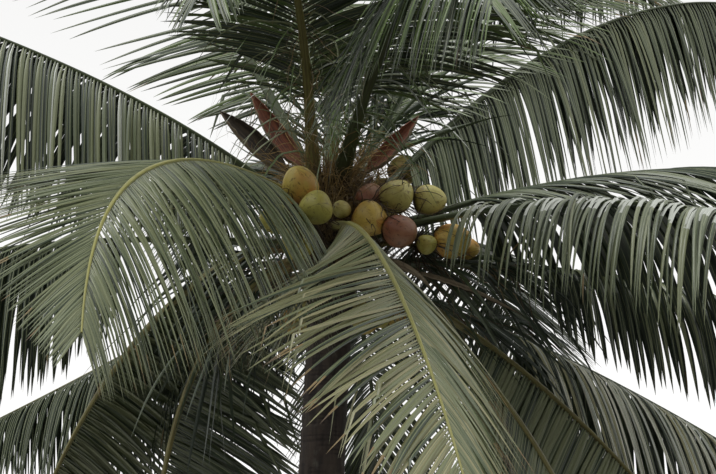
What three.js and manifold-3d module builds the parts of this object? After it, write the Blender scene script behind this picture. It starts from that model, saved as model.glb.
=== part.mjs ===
// A coconut palm in fruit: one leaning trunk, feathered fronds, bunches of nuts,
// the woody sheaths of old flower stalks and the unopened spear leaf.
// Millimetres, +Z up. The origin is the middle of the flat cut under the trunk.
// Headings are degrees about +Z: 0 is +X, 90 is +Y. Heights of the crown's pieces
// are measured from the crown's base, where the lowest fronds leave the trunk.

import * as THREE from "three";
import Module from "manifold-3d";

const wasm = await Module();
wasm.setup();

const trunk = {
  sides: 16,
  crownHeight: 7600,
  lean: 300,
  leanBend: 1.25,
  footRadius: 150,
  shaftTaper: 22,
  flare: 105,
  flareHeight: 260,
  lobes: 5,
  lobeDepth: 0.08,
  lobeHeight: 220,
  heartRadius: 150,
  heartTaper: 0.12,
  sheathFrom: 7250,
  sheathTo: 7430,
  heartTop: 8020,
  tipHeight: 8120,
  tipRadius: 40,
  footHeights: [0, 40, 110, 220, 380, 600, 900],
  shaftFrom: 1350,
  shaftStep: 490,
  sheathMiddle: 7340,
  heartHeights: [7600, 7760, 7900],
};

// The spear's girth is [share of its length, radius].
const spear = { length: 1350, lean: 60, sides: 5, girth: [[0, 24], [0.3, 30], [0.7, 17]] };

const rib = {
  baseWidth: 62,
  tipWidth: 10,
  baseDepth: 42,
  tipDepth: 9,
  thinning: 1.3,
  pullIn: 45,
  steepest: -85,
  swingBend: 1.5,
};

const leaflet = {
  pairs: 16,
  length: 1050,
  shortest: 0.1,
  arcFrom: 0.09,
  arcSpan: 0.88,
  arcLean: 0.8,
  arcFullness: 0.65,
  midShare: 0.42,
  midWidth: 0.62,
  thickness: 11,
  steps: 8,
};

const gap = 0.3;        // between a stem and the trunk
const leafGap = 4;      // between a leaflet and anything that isn't its own frond's
const lineSteps = 96;
const firstBladeRing = 3;   // a rib has one ring in the trunk and two up its bare stalk

// Which way a hanging leaflet is drawn: down, and a little aside by the wind.
const pull = new THREE.Vector3(0.06, 0, -1);

// How a frond of each age carries its leaflets: the pull of their weight, how soon it
// tells along a leaflet, their angle to the rib, and how far they stand above its plane.
const habits = {
  curtain: { sag: 5.0, hang: 0.45, open: 64, vee: 0 },
  level: { sag: 8.0, hang: 1.4, open: 68, vee: 6 },
  low: { sag: 7.0, hang: 0.7, open: 60, vee: 3 },
  folded: { sag: 0.26, hang: 0.8, open: 80, tip: 50, vee: 86, unfold: 0, rollBy: 0.16 },
  swept: { sag: 0.7, hang: 0.5, open: 44, vee: 0 },
  front: { sag: 0.5, hang: 0.9, open: 57, vee: 0 },
  young: { sag: 0.8, hang: 0.6, open: 60, vee: 5 },
  drooping: { sag: 1.2, hang: 0.5, open: 58, vee: 0 },
};

// Each frond's rib leaves the crown at its height and heading, climbs at its rise, and
// loses its droop by the tip. Turn swings its heading, and roll tips its plane over by
// the share rollBy. Stalk is the bare share of the rib. The leaflets' angle narrows from
// open to tip, lean opens one side wider, unfold flattens the vee, uneven hangs one side
// lower, long and short scale the leaflets at the two ends, and skew those of each side.
const plainFrond = {
  bend: 1.2, turn: 0, roll: 0, rollBy: 0.62, length: 4300, stalk: 0.16, tip: 24, lean: 0,
  unfold: 0.6, uneven: 0, long: 1, short: 1, skew: 0,
};
const fronds = [
  { name: "frond_front", habit: "front", height: 110, heading: 278, rise: -7, droop: 58,
    bend: 1, turn: 14, roll: 10, open: 50, lean: -26, vee: -65, unfold: 2.6, uneven: -0.4,
    long: 1.35, short: 0.75, stalk: 0.1 },
  { name: "frond_front_left", habit: "front", height: 160, heading: 239, rise: 15, droop: 70,
    bend: 1, turn: 35, roll: 22, open: 62, lean: 18, vee: -26, unfold: 1.6, sag: 0.9,
    uneven: -0.8, long: 1.42, skew: -0.08, length: 3750, stalk: 0.13 },
  { name: "frond_overhead_front", habit: "young", height: 240, heading: 264, rise: 79, droop: 141,
    bend: 0.95, turn: -6, seat: 205, length: 4100, sag: 0.45 },
  { name: "frond_overhead_right", habit: "drooping", height: 340, heading: 287, rise: 48,
    droop: 90, bend: 0.84, turn: -17, uneven: 0.5 },
  { name: "frond_right_arching", habit: "curtain", height: 180, heading: 28, rise: 47, droop: 50,
    bend: 1.5, turn: 20, lean: -20, uneven: 0.7, stalk: 0.12 },
  { name: "frond_left_upper", habit: "curtain", height: 140, heading: 198, rise: 49, droop: 43,
    bend: 0.45, turn: -4, lean: 10, uneven: -0.6, stalk: 0.14 },
  { name: "frond_right_level", habit: "level", height: 40, heading: 328, rise: 9, droop: 48,
    bend: 1.1, open: 88, tip: 72, sag: 3.2, hang: 1.2, stalk: 0.18 },
  { name: "frond_right_swept", habit: "swept", height: 70, heading: 6, rise: 22, droop: 41,
    bend: 1.1, turn: 8 },
  { name: "frond_right_lower", habit: "level", height: -80, heading: 352, rise: -1, droop: 42,
    bend: 1.4, long: 0.85, short: 0.7, stalk: 0.24 },
  { name: "frond_left_level", habit: "curtain", height: 20, heading: 192, rise: 2, droop: 38,
    bend: 1.3, stalk: 0.25 },
  { name: "frond_left_low", habit: "low", height: -120, heading: 112, rise: 17, droop: 34,
    bend: 0.5, turn: 35, stalk: 0.24 },
  { name: "frond_right_low", habit: "low", height: -182, heading: 32, rise: -1, droop: 28,
    bend: 0.5, turn: -10, stalk: 0.27 },
  { name: "frond_hanging_left", habit: "folded", height: 20, heading: 137, rise: 32, droop: 108,
    bend: 0.49, turn: -5, roll: -86, long: 1.1, short: 1.1, length: 4400, stalk: 0.22 },
  { name: "frond_hanging_back", habit: "folded", height: -60, heading: 134, rise: 28, droop: 150,
    bend: 0.52, turn: -30, roll: -86, long: 1.25, short: 1.1, length: 4400, stalk: 0.18 },
  { name: "frond_back_right_low", habit: "folded", height: -132, heading: 12, rise: -12, droop: 50,
    bend: 0.5, vee: -84, open: 82, tip: 56, sag: 0.25, stalk: 0.2 },
  { name: "frond_hanging_right", habit: "folded", height: -182, heading: -12, rise: -14, droop: 78,
    bend: 0.5, vee: -84, open: 46, tip: 30, sag: 0.4, stalk: 0.2 },
  { name: "frond_upright_left", habit: "young", height: 320, heading: 150, rise: 64, droop: 50,
    bend: 1.5, turn: -10, seat: 135, length: 4200, open: 78, tip: 45, sag: 0.25, roll: 58,
    rollBy: 0.15, long: 0.75, short: 1.35 },
  { name: "frond_upright_right", habit: "young", height: 300, heading: 52, rise: 57, droop: 58,
    bend: 1.3 },
  { name: "frond_upright_back", habit: "young", height: 360, heading: 95, rise: 70, droop: 64,
    bend: 1.3 },
  { name: "frond_back_rising", habit: "young", height: 120, heading: 105, rise: 36, droop: 60 },
  { name: "frond_back_right", habit: "young", height: 60, heading: 68, rise: 20, droop: 60 },
  { name: "frond_back_level", habit: "young", height: -50, heading: 85, rise: 8, droop: 62 },
];

const stalk = {
  baseRadius: 17, hubRadius: 13, sides: 5, steps: 3, bendShare: 0.6, arch: 60,
  stemRadius: 7, stemSides: 3, stemSink: 6,
};

// A nut's girth is [share of its half length, share of its radius].
const nut = { sides: 8, slenderness: 1.14, girth: [[-0.6, 0.78], [0.05, 1], [0.68, 0.7]] };

// A nut in a bunch is [heading, distance from the crown's middle, height, radius].
const bunches = [
  { name: "bunch_left", seat: [258, 220], hub: [251, 440, 100],
    nuts: [[253, 620, 250, 102], [263, 710, 95, 94], [230, 500, 100, 84], [246, 460, -40, 98]] },
  { name: "bunch_front", seat: [300, 160], hub: [302, 320, 130],
    nuts: [[277, 420, 150, 50], [314, 310, 260, 80], [297, 470, 90, 101], [309, 610, 10, 92]] },
  { name: "bunch_right", seat: [335, 240], hub: [333, 370, 250],
    nuts: [[319, 490, 250, 96], [336, 610, 240, 86]] },
  { name: "bunch_far_right", seat: [340, -30], hub: [334, 520, -20],
    nuts: [[323, 670, -50, 56], [335, 750, -10, 98], [348, 790, -25, 64]] },
  { name: "bunch_high_right", seat: [70, 200], hub: [57, 330, 320],
    nuts: [[43, 580, 570, 90], [60, 620, 470, 88], [42, 420, 300, 60]] },
  ringBunch("bunch_back_right", 58),
  ringBunch("bunch_back", 105),
];

// A sheath runs from its seat [heading, height] by a bend to its tip, both [x, y, height].
// Roll turns its open side about its length.
const sheathShape = {
  stem: 13, stemShare: 0.3, stemFloor: 9, rings: 7, depthShare: 0.75, slimmest: 10,
  floor: 14, keelShare: 0.6, floorShare: 0.5, mouth: 0.1, fullness: 0.8,
};
const sheaths = [
  { name: "sheath_left_dark", seat: [175, 240], bend: [-370, -20, 590], tip: [-660, -80, 810],
    width: 72, roll: 120 },
  { name: "sheath_left_red", seat: [180, 330], bend: [-250, 20, 560], tip: [-490, 20, 954],
    width: 64, roll: 120 },
  { name: "sheath_right_red", seat: [350, 350], bend: [260, -40, 500], tip: [500, -100, 780],
    width: 62, roll: -120 },
  { name: "sheath_front_small", seat: [311, 200], bend: [150, -120, 310], tip: [232, -160, 400],
    width: 28, roll: 0 },
  { name: "sheath_hanging", seat: [302, -40], bend: [390, -400, -110], tip: [558, -500, -330],
    width: 34, roll: 0 },
  { name: "sheath_dry", seat: [325, -60], bend: [600, -350, -200], tip: [1060, -380, -450],
    width: 32, roll: 0 },
];

const colours = {
  trunk: [0x4a3f35, 0.95],
  frond: [0x4f6136, 0.55],
  nuts: [0x9a9a4c, 0.5],
  sheath: [0x5a3527, 0.8],
  spear: [0x8f9a55, 0.5],
};

// A bunch behind the crown: its nuts hang in a ring under the lowest fronds.
function ringBunch(name, heading) {
  const count = 5;
  const hubReach = 500;
  const hubHeight = -220;
  const seatHeight = -160;
  const drop = 90;
  const step = 22;
  const ringRadius = 120;
  const nutRadius = 72;
  const hub = around(heading, hubReach, 0);
  const nuts = [];
  for (let i = 0; i < count; i += 1) {
    const place = around(heading + (360 * i) / count, ringRadius, 0).add(hub);
    const turn = THREE.MathUtils.radToDeg(Math.atan2(place.y, place.x));
    nuts.push([turn, Math.hypot(place.x, place.y), hubHeight - drop - step * (i % 2), nutRadius]);
  }
  return { name, seat: [heading, seatHeight], hub: [heading, hubReach, hubHeight], nuts };
}

function radians(degrees) {
  return THREE.MathUtils.degToRad(degrees);
}

function mix(from, to, share) {
  return from + (to - from) * share;
}

function around(heading, reach, height) {
  const turn = radians(heading);
  return new THREE.Vector3(reach * Math.cos(turn), reach * Math.sin(turn), height);
}

// A place in the crown, from its heading, reach and height there.
function inCrown(heading, reach, height) {
  return around(heading, reach, height).add(new THREE.Vector3(trunk.lean, 0, trunk.crownHeight));
}

function along(start, direction, distance) {
  return start.clone().addScaledVector(direction, distance);
}

// Closed body through a row of rings. A ring's points run counterclockwise about the way
// the row goes, and a ring of one point closes the body to a tip.
function skin(rings) {
  const body = { points: [], faces: [] };
  const firsts = rings.map((ring) => addPoints(body, ring));
  const last = rings.length - 1;
  capRing(body, firsts[0], rings[0].length, true);
  for (let i = 0; i < last; i += 1) {
    joinRings(body, firsts[i], rings[i].length, firsts[i + 1], rings[i + 1].length);
  }
  capRing(body, firsts[last], rings[last].length, false);
  return body;
}

function addPoints(body, points) {
  const first = body.points.length;
  body.points.push(...points);
  return first;
}

function capRing(body, first, count, facesBack) {
  for (let i = 1; i < count - 1; i += 1) {
    const [second, third] = facesBack ? [i + 1, i] : [i, i + 1];
    body.faces.push([first, first + second, first + third]);
  }
}

function joinRings(body, from, fromCount, to, toCount) {
  const count = Math.max(fromCount, toCount);
  for (let i = 0; i < count; i += 1) {
    const next = (i + 1) % count;
    if (fromCount === 1) {
      body.faces.push([from, to + next, to + i]);
    } else if (toCount === 1) {
      body.faces.push([from + i, from + next, to]);
    } else {
      addQuad(body, from + i, from + next, to + next, to + i);
    }
  }
}

function addQuad(body, a, b, c, d) {
  body.faces.push([a, b, c], [a, c, d]);
}

function solidOf(body) {
  const vertProperties = new Float32Array(body.points.flatMap((point) => point.toArray()));
  const triVerts = new Uint32Array(body.faces.flat());
  return new wasm.Manifold(new wasm.Mesh({ numProp: 3, vertProperties, triVerts }));
}

function meshOf(name, solid, [colour, roughness]) {
  const data = solid.getMesh();
  const geometry = new THREE.BufferGeometry();
  geometry.setAttribute("position", new THREE.BufferAttribute(data.vertProperties, 3));
  geometry.setIndex(new THREE.BufferAttribute(data.triVerts, 1));
  geometry.computeVertexNormals();
  const material = new THREE.MeshStandardMaterial({ color: colour, roughness, metalness: 0 });
  const mesh = new THREE.Mesh(geometry, material);
  mesh.name = name;
  return mesh;
}

// Ring of sides points round a place, counterclockwise about a direction.
function roundRing(centre, direction, radius, sides) {
  const upright = Math.abs(direction.z) > 0.9;
  const helper = upright ? new THREE.Vector3(0, 1, 0) : new THREE.Vector3(0, 0, 1);
  const across = new THREE.Vector3().crossVectors(helper, direction).normalize();
  const other = new THREE.Vector3().crossVectors(direction, across);
  const ring = [];
  for (let i = 0; i < sides; i += 1) {
    const turn = (2 * Math.PI * i) / sides;
    ring.push(along(along(centre, across, radius * Math.cos(turn)), other, radius * Math.sin(turn)));
  }
  return ring;
}

function trunkMiddle(height) {
  const share = Math.min(1, height / trunk.crownHeight);
  return new THREE.Vector3(trunk.lean * share ** trunk.leanBend, 0, height);
}

function heartRadius(height) {
  return trunk.heartRadius - trunk.heartTaper * Math.max(0, height - trunk.crownHeight);
}

function trunkRadius(height, turn) {
  if (height >= trunk.tipHeight) {
    return trunk.tipRadius;
  }
  const shaft = trunk.footRadius - (trunk.shaftTaper * height) / trunk.crownHeight;
  const flare = trunk.flare * Math.exp(-height / trunk.flareHeight);
  const lobe = trunk.lobeDepth * Math.exp(-height / trunk.lobeHeight) * Math.cos(trunk.lobes * turn);
  const sheath = THREE.MathUtils.smoothstep(height, trunk.sheathFrom, trunk.sheathTo);
  return mix((shaft + flare) * (1 + lobe), heartRadius(height), sheath);
}

function trunkHeights() {
  const shaft = [];
  for (let height = trunk.shaftFrom; height < trunk.sheathFrom; height += trunk.shaftStep) {
    shaft.push(height);
  }
  const sheath = [trunk.sheathFrom, trunk.sheathMiddle, trunk.sheathTo];
  const heart = [...trunk.heartHeights, trunk.heartTop, trunk.tipHeight];
  return [...trunk.footHeights, ...shaft, ...sheath, ...heart];
}

function trunkSolid(extra) {
  const rings = trunkHeights().map((height) => {
    const ring = [];
    for (let i = 0; i < trunk.sides; i += 1) {
      const turn = (2 * Math.PI * i) / trunk.sides;
      const radius = trunkRadius(height, turn) + extra;
      ring.push(around(THREE.MathUtils.radToDeg(turn), radius, 0).add(trunkMiddle(height)));
    }
    return ring;
  });
  return solidOf(skin(rings));
}

function spearSolid() {
  const foot = new THREE.Vector3(trunk.lean, 0, trunk.tipHeight + gap);
  const tip = foot.clone().add(new THREE.Vector3(spear.lean, spear.lean / 2, spear.length));
  const upward = new THREE.Vector3(0, 0, 1);
  const rings = spear.girth.map(([share, radius]) => (
    roundRing(foot.clone().lerp(tip, share), upward, radius, spear.sides)
  ));
  return solidOf(skin([...rings, [tip]]));
}

// Directions of a frond's rib at a share of its length: forward, to its right side, and
// out of its upper face.
function ribAxes(frond, share) {
  const climb = radians(Math.max(frond.rise - frond.droop * share ** frond.bend, rib.steepest));
  const heading = radians(frond.heading + frond.turn * share ** rib.swingBend);
  const forward = new THREE.Vector3(
    Math.cos(climb) * Math.cos(heading), Math.cos(climb) * Math.sin(heading), Math.sin(climb),
  );
  const level = new THREE.Vector3(Math.sin(heading), -Math.cos(heading), 0);
  const upper = new THREE.Vector3().crossVectors(level, forward);
  const roll = radians(frond.roll * Math.min(1, share / frond.rollBy));
  const right = level.clone().multiplyScalar(Math.cos(roll)).addScaledVector(upper, Math.sin(roll));
  const face = upper.multiplyScalar(Math.cos(roll)).addScaledVector(level, -Math.sin(roll));
  return { forward, right, face };
}

// Where the rib's middle line is, at steps from the crown to the tip.
function ribLine(frond) {
  const seat = frond.seat ?? frond.heading;
  const radius = heartRadius(trunk.crownHeight + frond.height);
  const line = [inCrown(seat, radius, frond.height)];
  for (let i = 0; i < lineSteps; i += 1) {
    const { forward } = ribAxes(frond, (i + 0.5) / lineSteps);
    line.push(along(line[i], forward, frond.length / lineSteps));
  }
  return line;
}

function onLine(line, share) {
  const steps = line.length - 1;
  const before = Math.min(steps - 1, Math.floor(share * steps));
  return line[before].clone().lerp(line[before + 1], share * steps - before);
}

function ribRing(centre, axes, share, extra) {
  const thin = (1 - share) ** rib.thinning;
  const halfWidth = mix(rib.tipWidth, rib.baseWidth, thin) / 2 + extra;
  const halfDepth = mix(rib.tipDepth, rib.baseDepth, thin) / 2 + extra;
  const corners = [[1, 1], [1, -1], [-1, -1], [-1, 1]];
  return corners.map(([right, face]) => {
    const side = along(centre, axes.right, right * halfWidth);
    return along(side, axes.face, face * halfDepth);
  });
}

// Rings of a frond's rib: one inside the trunk's heart, two up its stalk, and one at each
// notch between its leaflets.
function ribRings(frond, extra) {
  const line = ribLine(frond);
  const rootAxes = ribAxes(frond, 0);
  const seat = frond.seat ?? frond.heading;
  const inward = around(seat, -rib.pullIn, -rib.pullIn * Math.max(0, rootAxes.forward.z));
  const rings = [ribRing(line[0].clone().add(inward), rootAxes, 0, extra)];
  for (const share of ribShares(frond)) {
    rings.push(ribRing(onLine(line, share), ribAxes(frond, share), share, extra));
  }
  return rings;
}

function ribShares(frond) {
  const shares = [0, frond.stalk / 2];
  for (let i = 0; i <= leaflet.pairs; i += 1) {
    shares.push(mix(frond.stalk, 1, i / leaflet.pairs));
  }
  return shares;
}

// Length of a leaflet by its share of the way along the blade: longest at the middle.
function leafletLength(frond, share) {
  const arc = Math.sin(Math.PI * (leaflet.arcFrom + leaflet.arcSpan * share ** leaflet.arcLean));
  const part = mix(leaflet.shortest, 1, arc ** leaflet.arcFullness);
  return leaflet.length * part * mix(frond.long, frond.short, share);
}

// A leaflet's middle line. It leaves the rib at its angle and bends over by its weight.
function leafletLine(frond, line, share, side, ease, scale) {
  const ribShare = mix(frond.stalk, 1, share);
  const { forward, right, face } = ribAxes(frond, ribShare);
  const angle = radians(mix(frond.open - frond.lean * side, frond.tip, share));
  const vee = radians(frond.vee * Math.max(0, 1 - frond.unfold * share));
  const outward = right.clone().multiplyScalar(side * Math.cos(vee)).addScaledVector(face, Math.sin(vee));
  const start = forward.clone().multiplyScalar(Math.cos(angle)).addScaledVector(outward, Math.sin(angle));
  const length = leafletLength(frond, share) * (1 + frond.skew * side) * scale;
  const step = length / leaflet.steps;
  const sag = frond.sag * (1 + frond.uneven * side) * ease;
  const points = [onLine(line, ribShare)];
  for (let i = 0; i < leaflet.steps; i += 1) {
    const weight = sag * ((i + 0.5) / leaflet.steps) ** frond.hang;
    const way = along(start, pull, weight).normalize();
    points.push(along(points[i], way, step));
  }
  return { points, forward };
}

// Rings of a leaflet beyond its root: a flat one across its middle, and its tip.
function leafletRings(frond, line, index, side, ease, scale, extra) {
  const share = (index + 0.5) / leaflet.pairs;
  const { points, forward } = leafletLine(frond, line, share, side, ease, scale);
  const middle = onLine(points, leaflet.midShare);
  const way = points[leaflet.steps].clone().sub(points[0]).normalize();
  const across = forward.clone().addScaledVector(way, -forward.dot(way)).normalize();
  const normal = new THREE.Vector3().crossVectors(way, across).multiplyScalar(side);
  const pitch = (frond.length * (1 - frond.stalk)) / leaflet.pairs;
  const halfWidth = (pitch * leaflet.midWidth) / 2 + extra;
  const halfThick = leaflet.thickness / 2 + extra;
  const corners = [[-1, side], [-1, -side], [1, -side], [1, side]];
  const ring = corners.map(([width, thick]) => {
    const edge = along(middle, across, width * halfWidth);
    return along(edge, normal, thick * halfThick);
  });
  return [ring, [along(points[leaflet.steps], way, extra)]];
}

// The four corners of the rib's side where a leaflet grows, counterclockwise seen from
// outside. Right is side 1 and left is side -1.
function rootCorners(near, far, side) {
  const first = side > 0 ? 0 : 2;
  return [near[first], near[first + 1], far[first + 1], far[first]];
}

function boxOf(points) {
  return new THREE.Box3().setFromPoints(points);
}

function meets(first, second) {
  if (!first.box.intersectsBox(second.box)) {
    return false;
  }
  const common = first.solid.intersect(second.solid);
  const touch = !common.isEmpty();
  common.delete();
  return touch;
}

function obstacleOf(body, owner) {
  return { solid: solidOf(body), box: boxOf(body.points), owner };
}

function leafletObstacle(root, rings, owner) {
  return obstacleOf(skin([root, ...rings]), owner);
}

// A leaflet that would touch something bends otherwise, then is shorter, and at last is
// skipped: each try is [how far it bends, how long it is], as shares of the habit's own.
const tries = [[1, 1], [0.6, 1], [1.5, 1], [0.25, 1], [1, 0.7], [0.4, 0.7], [1, 0.45], [0.3, 0.45]];

function growLeaflet(frond, line, rings, index, side, obstacles) {
  const near = rings[firstBladeRing + index];
  const far = rings[firstBladeRing + index + 1];
  const root = rootCorners(near, far, side);
  for (const [ease, scale] of tries) {
    const exact = leafletRings(frond, line, index, side, ease, scale, 0);
    const padded = leafletRings(frond, line, index, side, ease, scale, leafGap);
    const slim = leafletObstacle(root, exact, frond.name);
    const wide = leafletObstacle(root, padded, frond.name);
    const blocked = obstacles.some((other) => meets(other.owner === frond.name ? slim : wide, other));
    wide.solid.delete();
    if (!blocked) {
      obstacles.push(slim);
      return exact;
    }
    slim.solid.delete();
  }
  return null;
}

// A frond's blade as one body: its rib, whose sides run out into leaflets from notch to
// notch, and a last leaflet at its tip.
function frondBody(frond, obstacles) {
  const line = ribLine(frond);
  const rings = ribRings(frond, 0);
  const body = { points: [], faces: [] };
  const firsts = rings.map((ring) => addPoints(body, ring));
  capRing(body, firsts[0], 4, true);
  for (let i = 0; i < rings.length - 1; i += 1) {
    addQuad(body, firsts[i] + 1, firsts[i] + 2, firsts[i + 1] + 2, firsts[i + 1] + 1);
    addQuad(body, firsts[i] + 3, firsts[i], firsts[i + 1], firsts[i + 1] + 3);
    for (const side of [1, -1]) {
      const first = side > 0 ? 0 : 2;
      const corners = [firsts[i] + first, firsts[i] + first + 1,
        firsts[i + 1] + first + 1, firsts[i + 1] + first];
      const index = i - firstBladeRing;
      const grown = index < 0 ? null : growLeaflet(frond, line, rings, index, side, obstacles);
      if (grown) {
        addLeaflet(body, corners, grown);
      } else {
        addQuad(body, ...corners);
      }
    }
  }
  const end = ribAxes(frond, 1).forward;
  const tip = along(line[line.length - 1], end, leafletLength(frond, 1));
  joinRings(body, firsts[rings.length - 1], 4, addPoints(body, [tip]), 1);
  return body;
}

function addLeaflet(body, root, [ring, tip]) {
  const first = addPoints(body, ring);
  for (let i = 0; i < 4; i += 1) {
    const next = (i + 1) % 4;
    addQuad(body, root[i], root[next], first + next, first + i);
  }
  joinRings(body, first, 4, addPoints(body, tip), 1);
}

// Round tapering stem through points.
function stemSolid(points, radii, sides) {
  const rings = points.map((point, i) => {
    const before = points[Math.max(0, i - 1)];
    const after = points[Math.min(points.length - 1, i + 1)];
    return roundRing(point, after.clone().sub(before).normalize(), radii[i], sides);
  });
  return solidOf(skin(rings));
}

// An oval nut that hangs from its stem's end.
function nutSolid(centre, way, radius) {
  const half = radius * nut.slenderness;
  const rings = [[along(centre, way, -half)]];
  for (const [share, width] of nut.girth) {
    rings.push(roundRing(along(centre, way, half * share), way, radius * width, nut.sides));
  }
  return solidOf(skin([...rings, [along(centre, way, half)]]));
}

function bunchSolid(bunch) {
  const [heading, height] = bunch.seat;
  const seatRadius = trunkRadius(trunk.crownHeight + height, radians(heading));
  const seat = inCrown(heading, seatRadius - rib.pullIn, height);
  const hub = inCrown(...bunch.hub);
  const bend = seat.clone().lerp(hub, stalk.bendShare).add(new THREE.Vector3(0, 0, stalk.arch));
  const points = new THREE.QuadraticBezierCurve3(seat, bend, hub).getPoints(stalk.steps);
  const radii = points.map((_, i) => mix(stalk.baseRadius, stalk.hubRadius, i / stalk.steps));
  let solid = stemSolid(points, radii, stalk.sides);
  for (const [turn, reach, rise, radius] of bunch.nuts) {
    const centre = inCrown(turn, reach, rise);
    const way = centre.clone().sub(hub).normalize();
    const foot = along(hub, way, -stalk.stemSink);
    const stem = stemSolid([foot, centre], [stalk.stemRadius, stalk.stemRadius], stalk.stemSides);
    solid = solid.add(stem).add(nutSolid(centre, way, radius));
  }
  return solid;
}

// A woody sheath: a round stem that opens into a boat with a thin wall.
function sheathSolid(sheath) {
  const [heading, height] = sheath.seat;
  const seat = inCrown(heading, heartRadius(trunk.crownHeight + height) - rib.pullIn, height);
  const middle = new THREE.Vector3(trunk.lean, 0, trunk.crownHeight);
  const bend = new THREE.Vector3(...sheath.bend).add(middle);
  const tip = new THREE.Vector3(...sheath.tip).add(middle);
  const curve = new THREE.QuadraticBezierCurve3(seat, bend, tip);
  const rings = [];
  for (let i = 0; i < sheathShape.rings; i += 1) {
    const share = i / sheathShape.rings;
    rings.push(sheathRing(curve, share, sheath));
  }
  return solidOf(skin([...rings, [curve.getPoint(1)]]));
}

function sheathRing(curve, share, { width, roll }) {
  const { stem, stemShare, keelShare, floorShare } = sheathShape;
  const way = curve.getTangent(share);
  const level = new THREE.Vector3().crossVectors(way, new THREE.Vector3(0, 0, 1)).normalize();
  const across = level.applyAxisAngle(way, radians(roll));
  const open = new THREE.Vector3().crossVectors(way, across);
  const spread = Math.max(0, (share - stemShare) / (1 - stemShare));
  const swell = Math.sin(Math.PI * mix(sheathShape.mouth, 1, spread)) ** sheathShape.fullness;
  const half = share <= stemShare ? stem : Math.max(sheathShape.slimmest, width * swell);
  const depth = Math.max(stem, half * sheathShape.depthShare);
  const inner = share <= stemShare ? sheathShape.stemFloor : sheathShape.floor - depth;
  const outline = [[-half, 0], [-keelShare * half, -depth], [keelShare * half, -depth], [half, 0],
    [floorShare * half, inner], [-floorShare * half, inner]];
  const centre = curve.getPoint(share);
  return outline.map(([side, out]) => along(along(centre, across, side), open, out));
}

function build() {
  const palm = new THREE.Group();
  const trunkBody = trunkSolid(0);
  const trunkSpace = trunkSolid(gap);
  const spearBody = spearSolid();
  palm.add(meshOf("trunk", trunkBody, colours.trunk));
  palm.add(meshOf("spear_leaf", spearBody, colours.spear));
  const obstacles = [];
  const addObstacle = (solid, owner) => {
    const bounds = solid.boundingBox();
    const box = new THREE.Box3(new THREE.Vector3(...bounds.min), new THREE.Vector3(...bounds.max));
    obstacles.push({ solid, box, owner });
  };
  addObstacle(trunkSpace, "trunk");
  addObstacle(spearBody, "spear_leaf");
  const dressed = fronds.map((frond) => ({ ...plainFrond, ...habits[frond.habit], ...frond }));
  for (const frond of dressed) {
    addObstacle(solidOf(skin(ribRings(frond, 0))), frond.name);
  }
  for (const bunch of bunches) {
    const solid = bunchSolid(bunch).subtract(trunkSpace);
    palm.add(meshOf(bunch.name, solid, colours.nuts));
    addObstacle(solid, bunch.name);
  }
  for (const sheath of sheaths) {
    const solid = sheathSolid(sheath).subtract(trunkSpace);
    palm.add(meshOf(sheath.name, solid, colours.sheath));
    addObstacle(solid, sheath.name);
  }
  for (const frond of dressed) {
    const solid = solidOf(frondBody(frond, obstacles)).subtract(trunkSpace);
    palm.add(meshOf(frond.name, solid, colours.frond));
  }
  return palm;
}

export default build();
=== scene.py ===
import math

import bpy
import numpy as np
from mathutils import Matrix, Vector, noise


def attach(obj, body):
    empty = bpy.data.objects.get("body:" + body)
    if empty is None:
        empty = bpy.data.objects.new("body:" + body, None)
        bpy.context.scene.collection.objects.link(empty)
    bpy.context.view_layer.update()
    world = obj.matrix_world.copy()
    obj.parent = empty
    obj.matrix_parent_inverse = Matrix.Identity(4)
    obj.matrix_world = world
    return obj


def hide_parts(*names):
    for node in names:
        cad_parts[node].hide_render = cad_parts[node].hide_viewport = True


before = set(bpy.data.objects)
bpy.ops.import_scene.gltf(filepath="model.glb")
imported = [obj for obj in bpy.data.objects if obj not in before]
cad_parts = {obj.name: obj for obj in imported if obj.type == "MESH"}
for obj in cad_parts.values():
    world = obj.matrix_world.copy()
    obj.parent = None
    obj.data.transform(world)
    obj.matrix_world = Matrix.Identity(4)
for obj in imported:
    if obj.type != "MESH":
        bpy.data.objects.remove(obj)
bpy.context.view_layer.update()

# Looks of a coconut palm in fruit. Metres, +Z up, the trunk's foot at the origin.
# Headings are degrees about +Z: 0 is +X, 90 is +Y. Heights of the crown's pieces are
# measured from its base, where the lowest fronds leave the trunk.
crown = dict(middle=(0.30, 0.0, 7.60), heartRadius=0.150, heartTaper=0.12)
down = np.array([0.0, 0.0, -1.0])
pull = np.array([0.06, 0.0, -1.0])  # a leaflet's weight, and a light wind from the left


def lerp(first, second, share):
    return first + (second - first) * share


def unit(vectors):
    return vectors / np.maximum(np.linalg.norm(vectors, axis=-1, keepdims=True), 1e-9)


def easeStep(value, low, high):
    share = np.clip((value - low) / (high - low), 0, 1)
    return share * share * (3 - 2 * share)


def drift(rng, share, size, slowest=2.0, fastest=16.0):
    # smooth seeded noise along a share from 0 to 1
    waves = rng.uniform(slowest, fastest, 4)
    phases = rng.uniform(0, 2 * math.pi, 4)
    return size * np.sin(2 * math.pi * waves * share[..., None] + phases).mean(-1) * 1.6


def inCrown(heading, reach, height):
    turn = np.radians(heading)
    place = np.stack(np.broadcast_arrays(reach * np.cos(turn), reach * np.sin(turn), height), -1)
    return place + np.array(crown["middle"])


def heartRadius(height):
    return crown["heartRadius"] - crown["heartTaper"] * np.maximum(0, height)


def roundTurns(sides):
    return np.arange(sides) * 2 * math.pi / sides


def turned(across, other, angle):
    # two directions across a path, turned about it
    return across * np.cos(angle) + other * np.sin(angle), other * np.cos(angle) - across * np.sin(angle)


def alongCurve(start, bend, end, shares):
    # points of a quadratic curve
    shares = np.asarray(shares)[:, None]
    return (1 - shares) ** 2 * start + 2 * shares * (1 - shares) * bend + shares ** 2 * end


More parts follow.
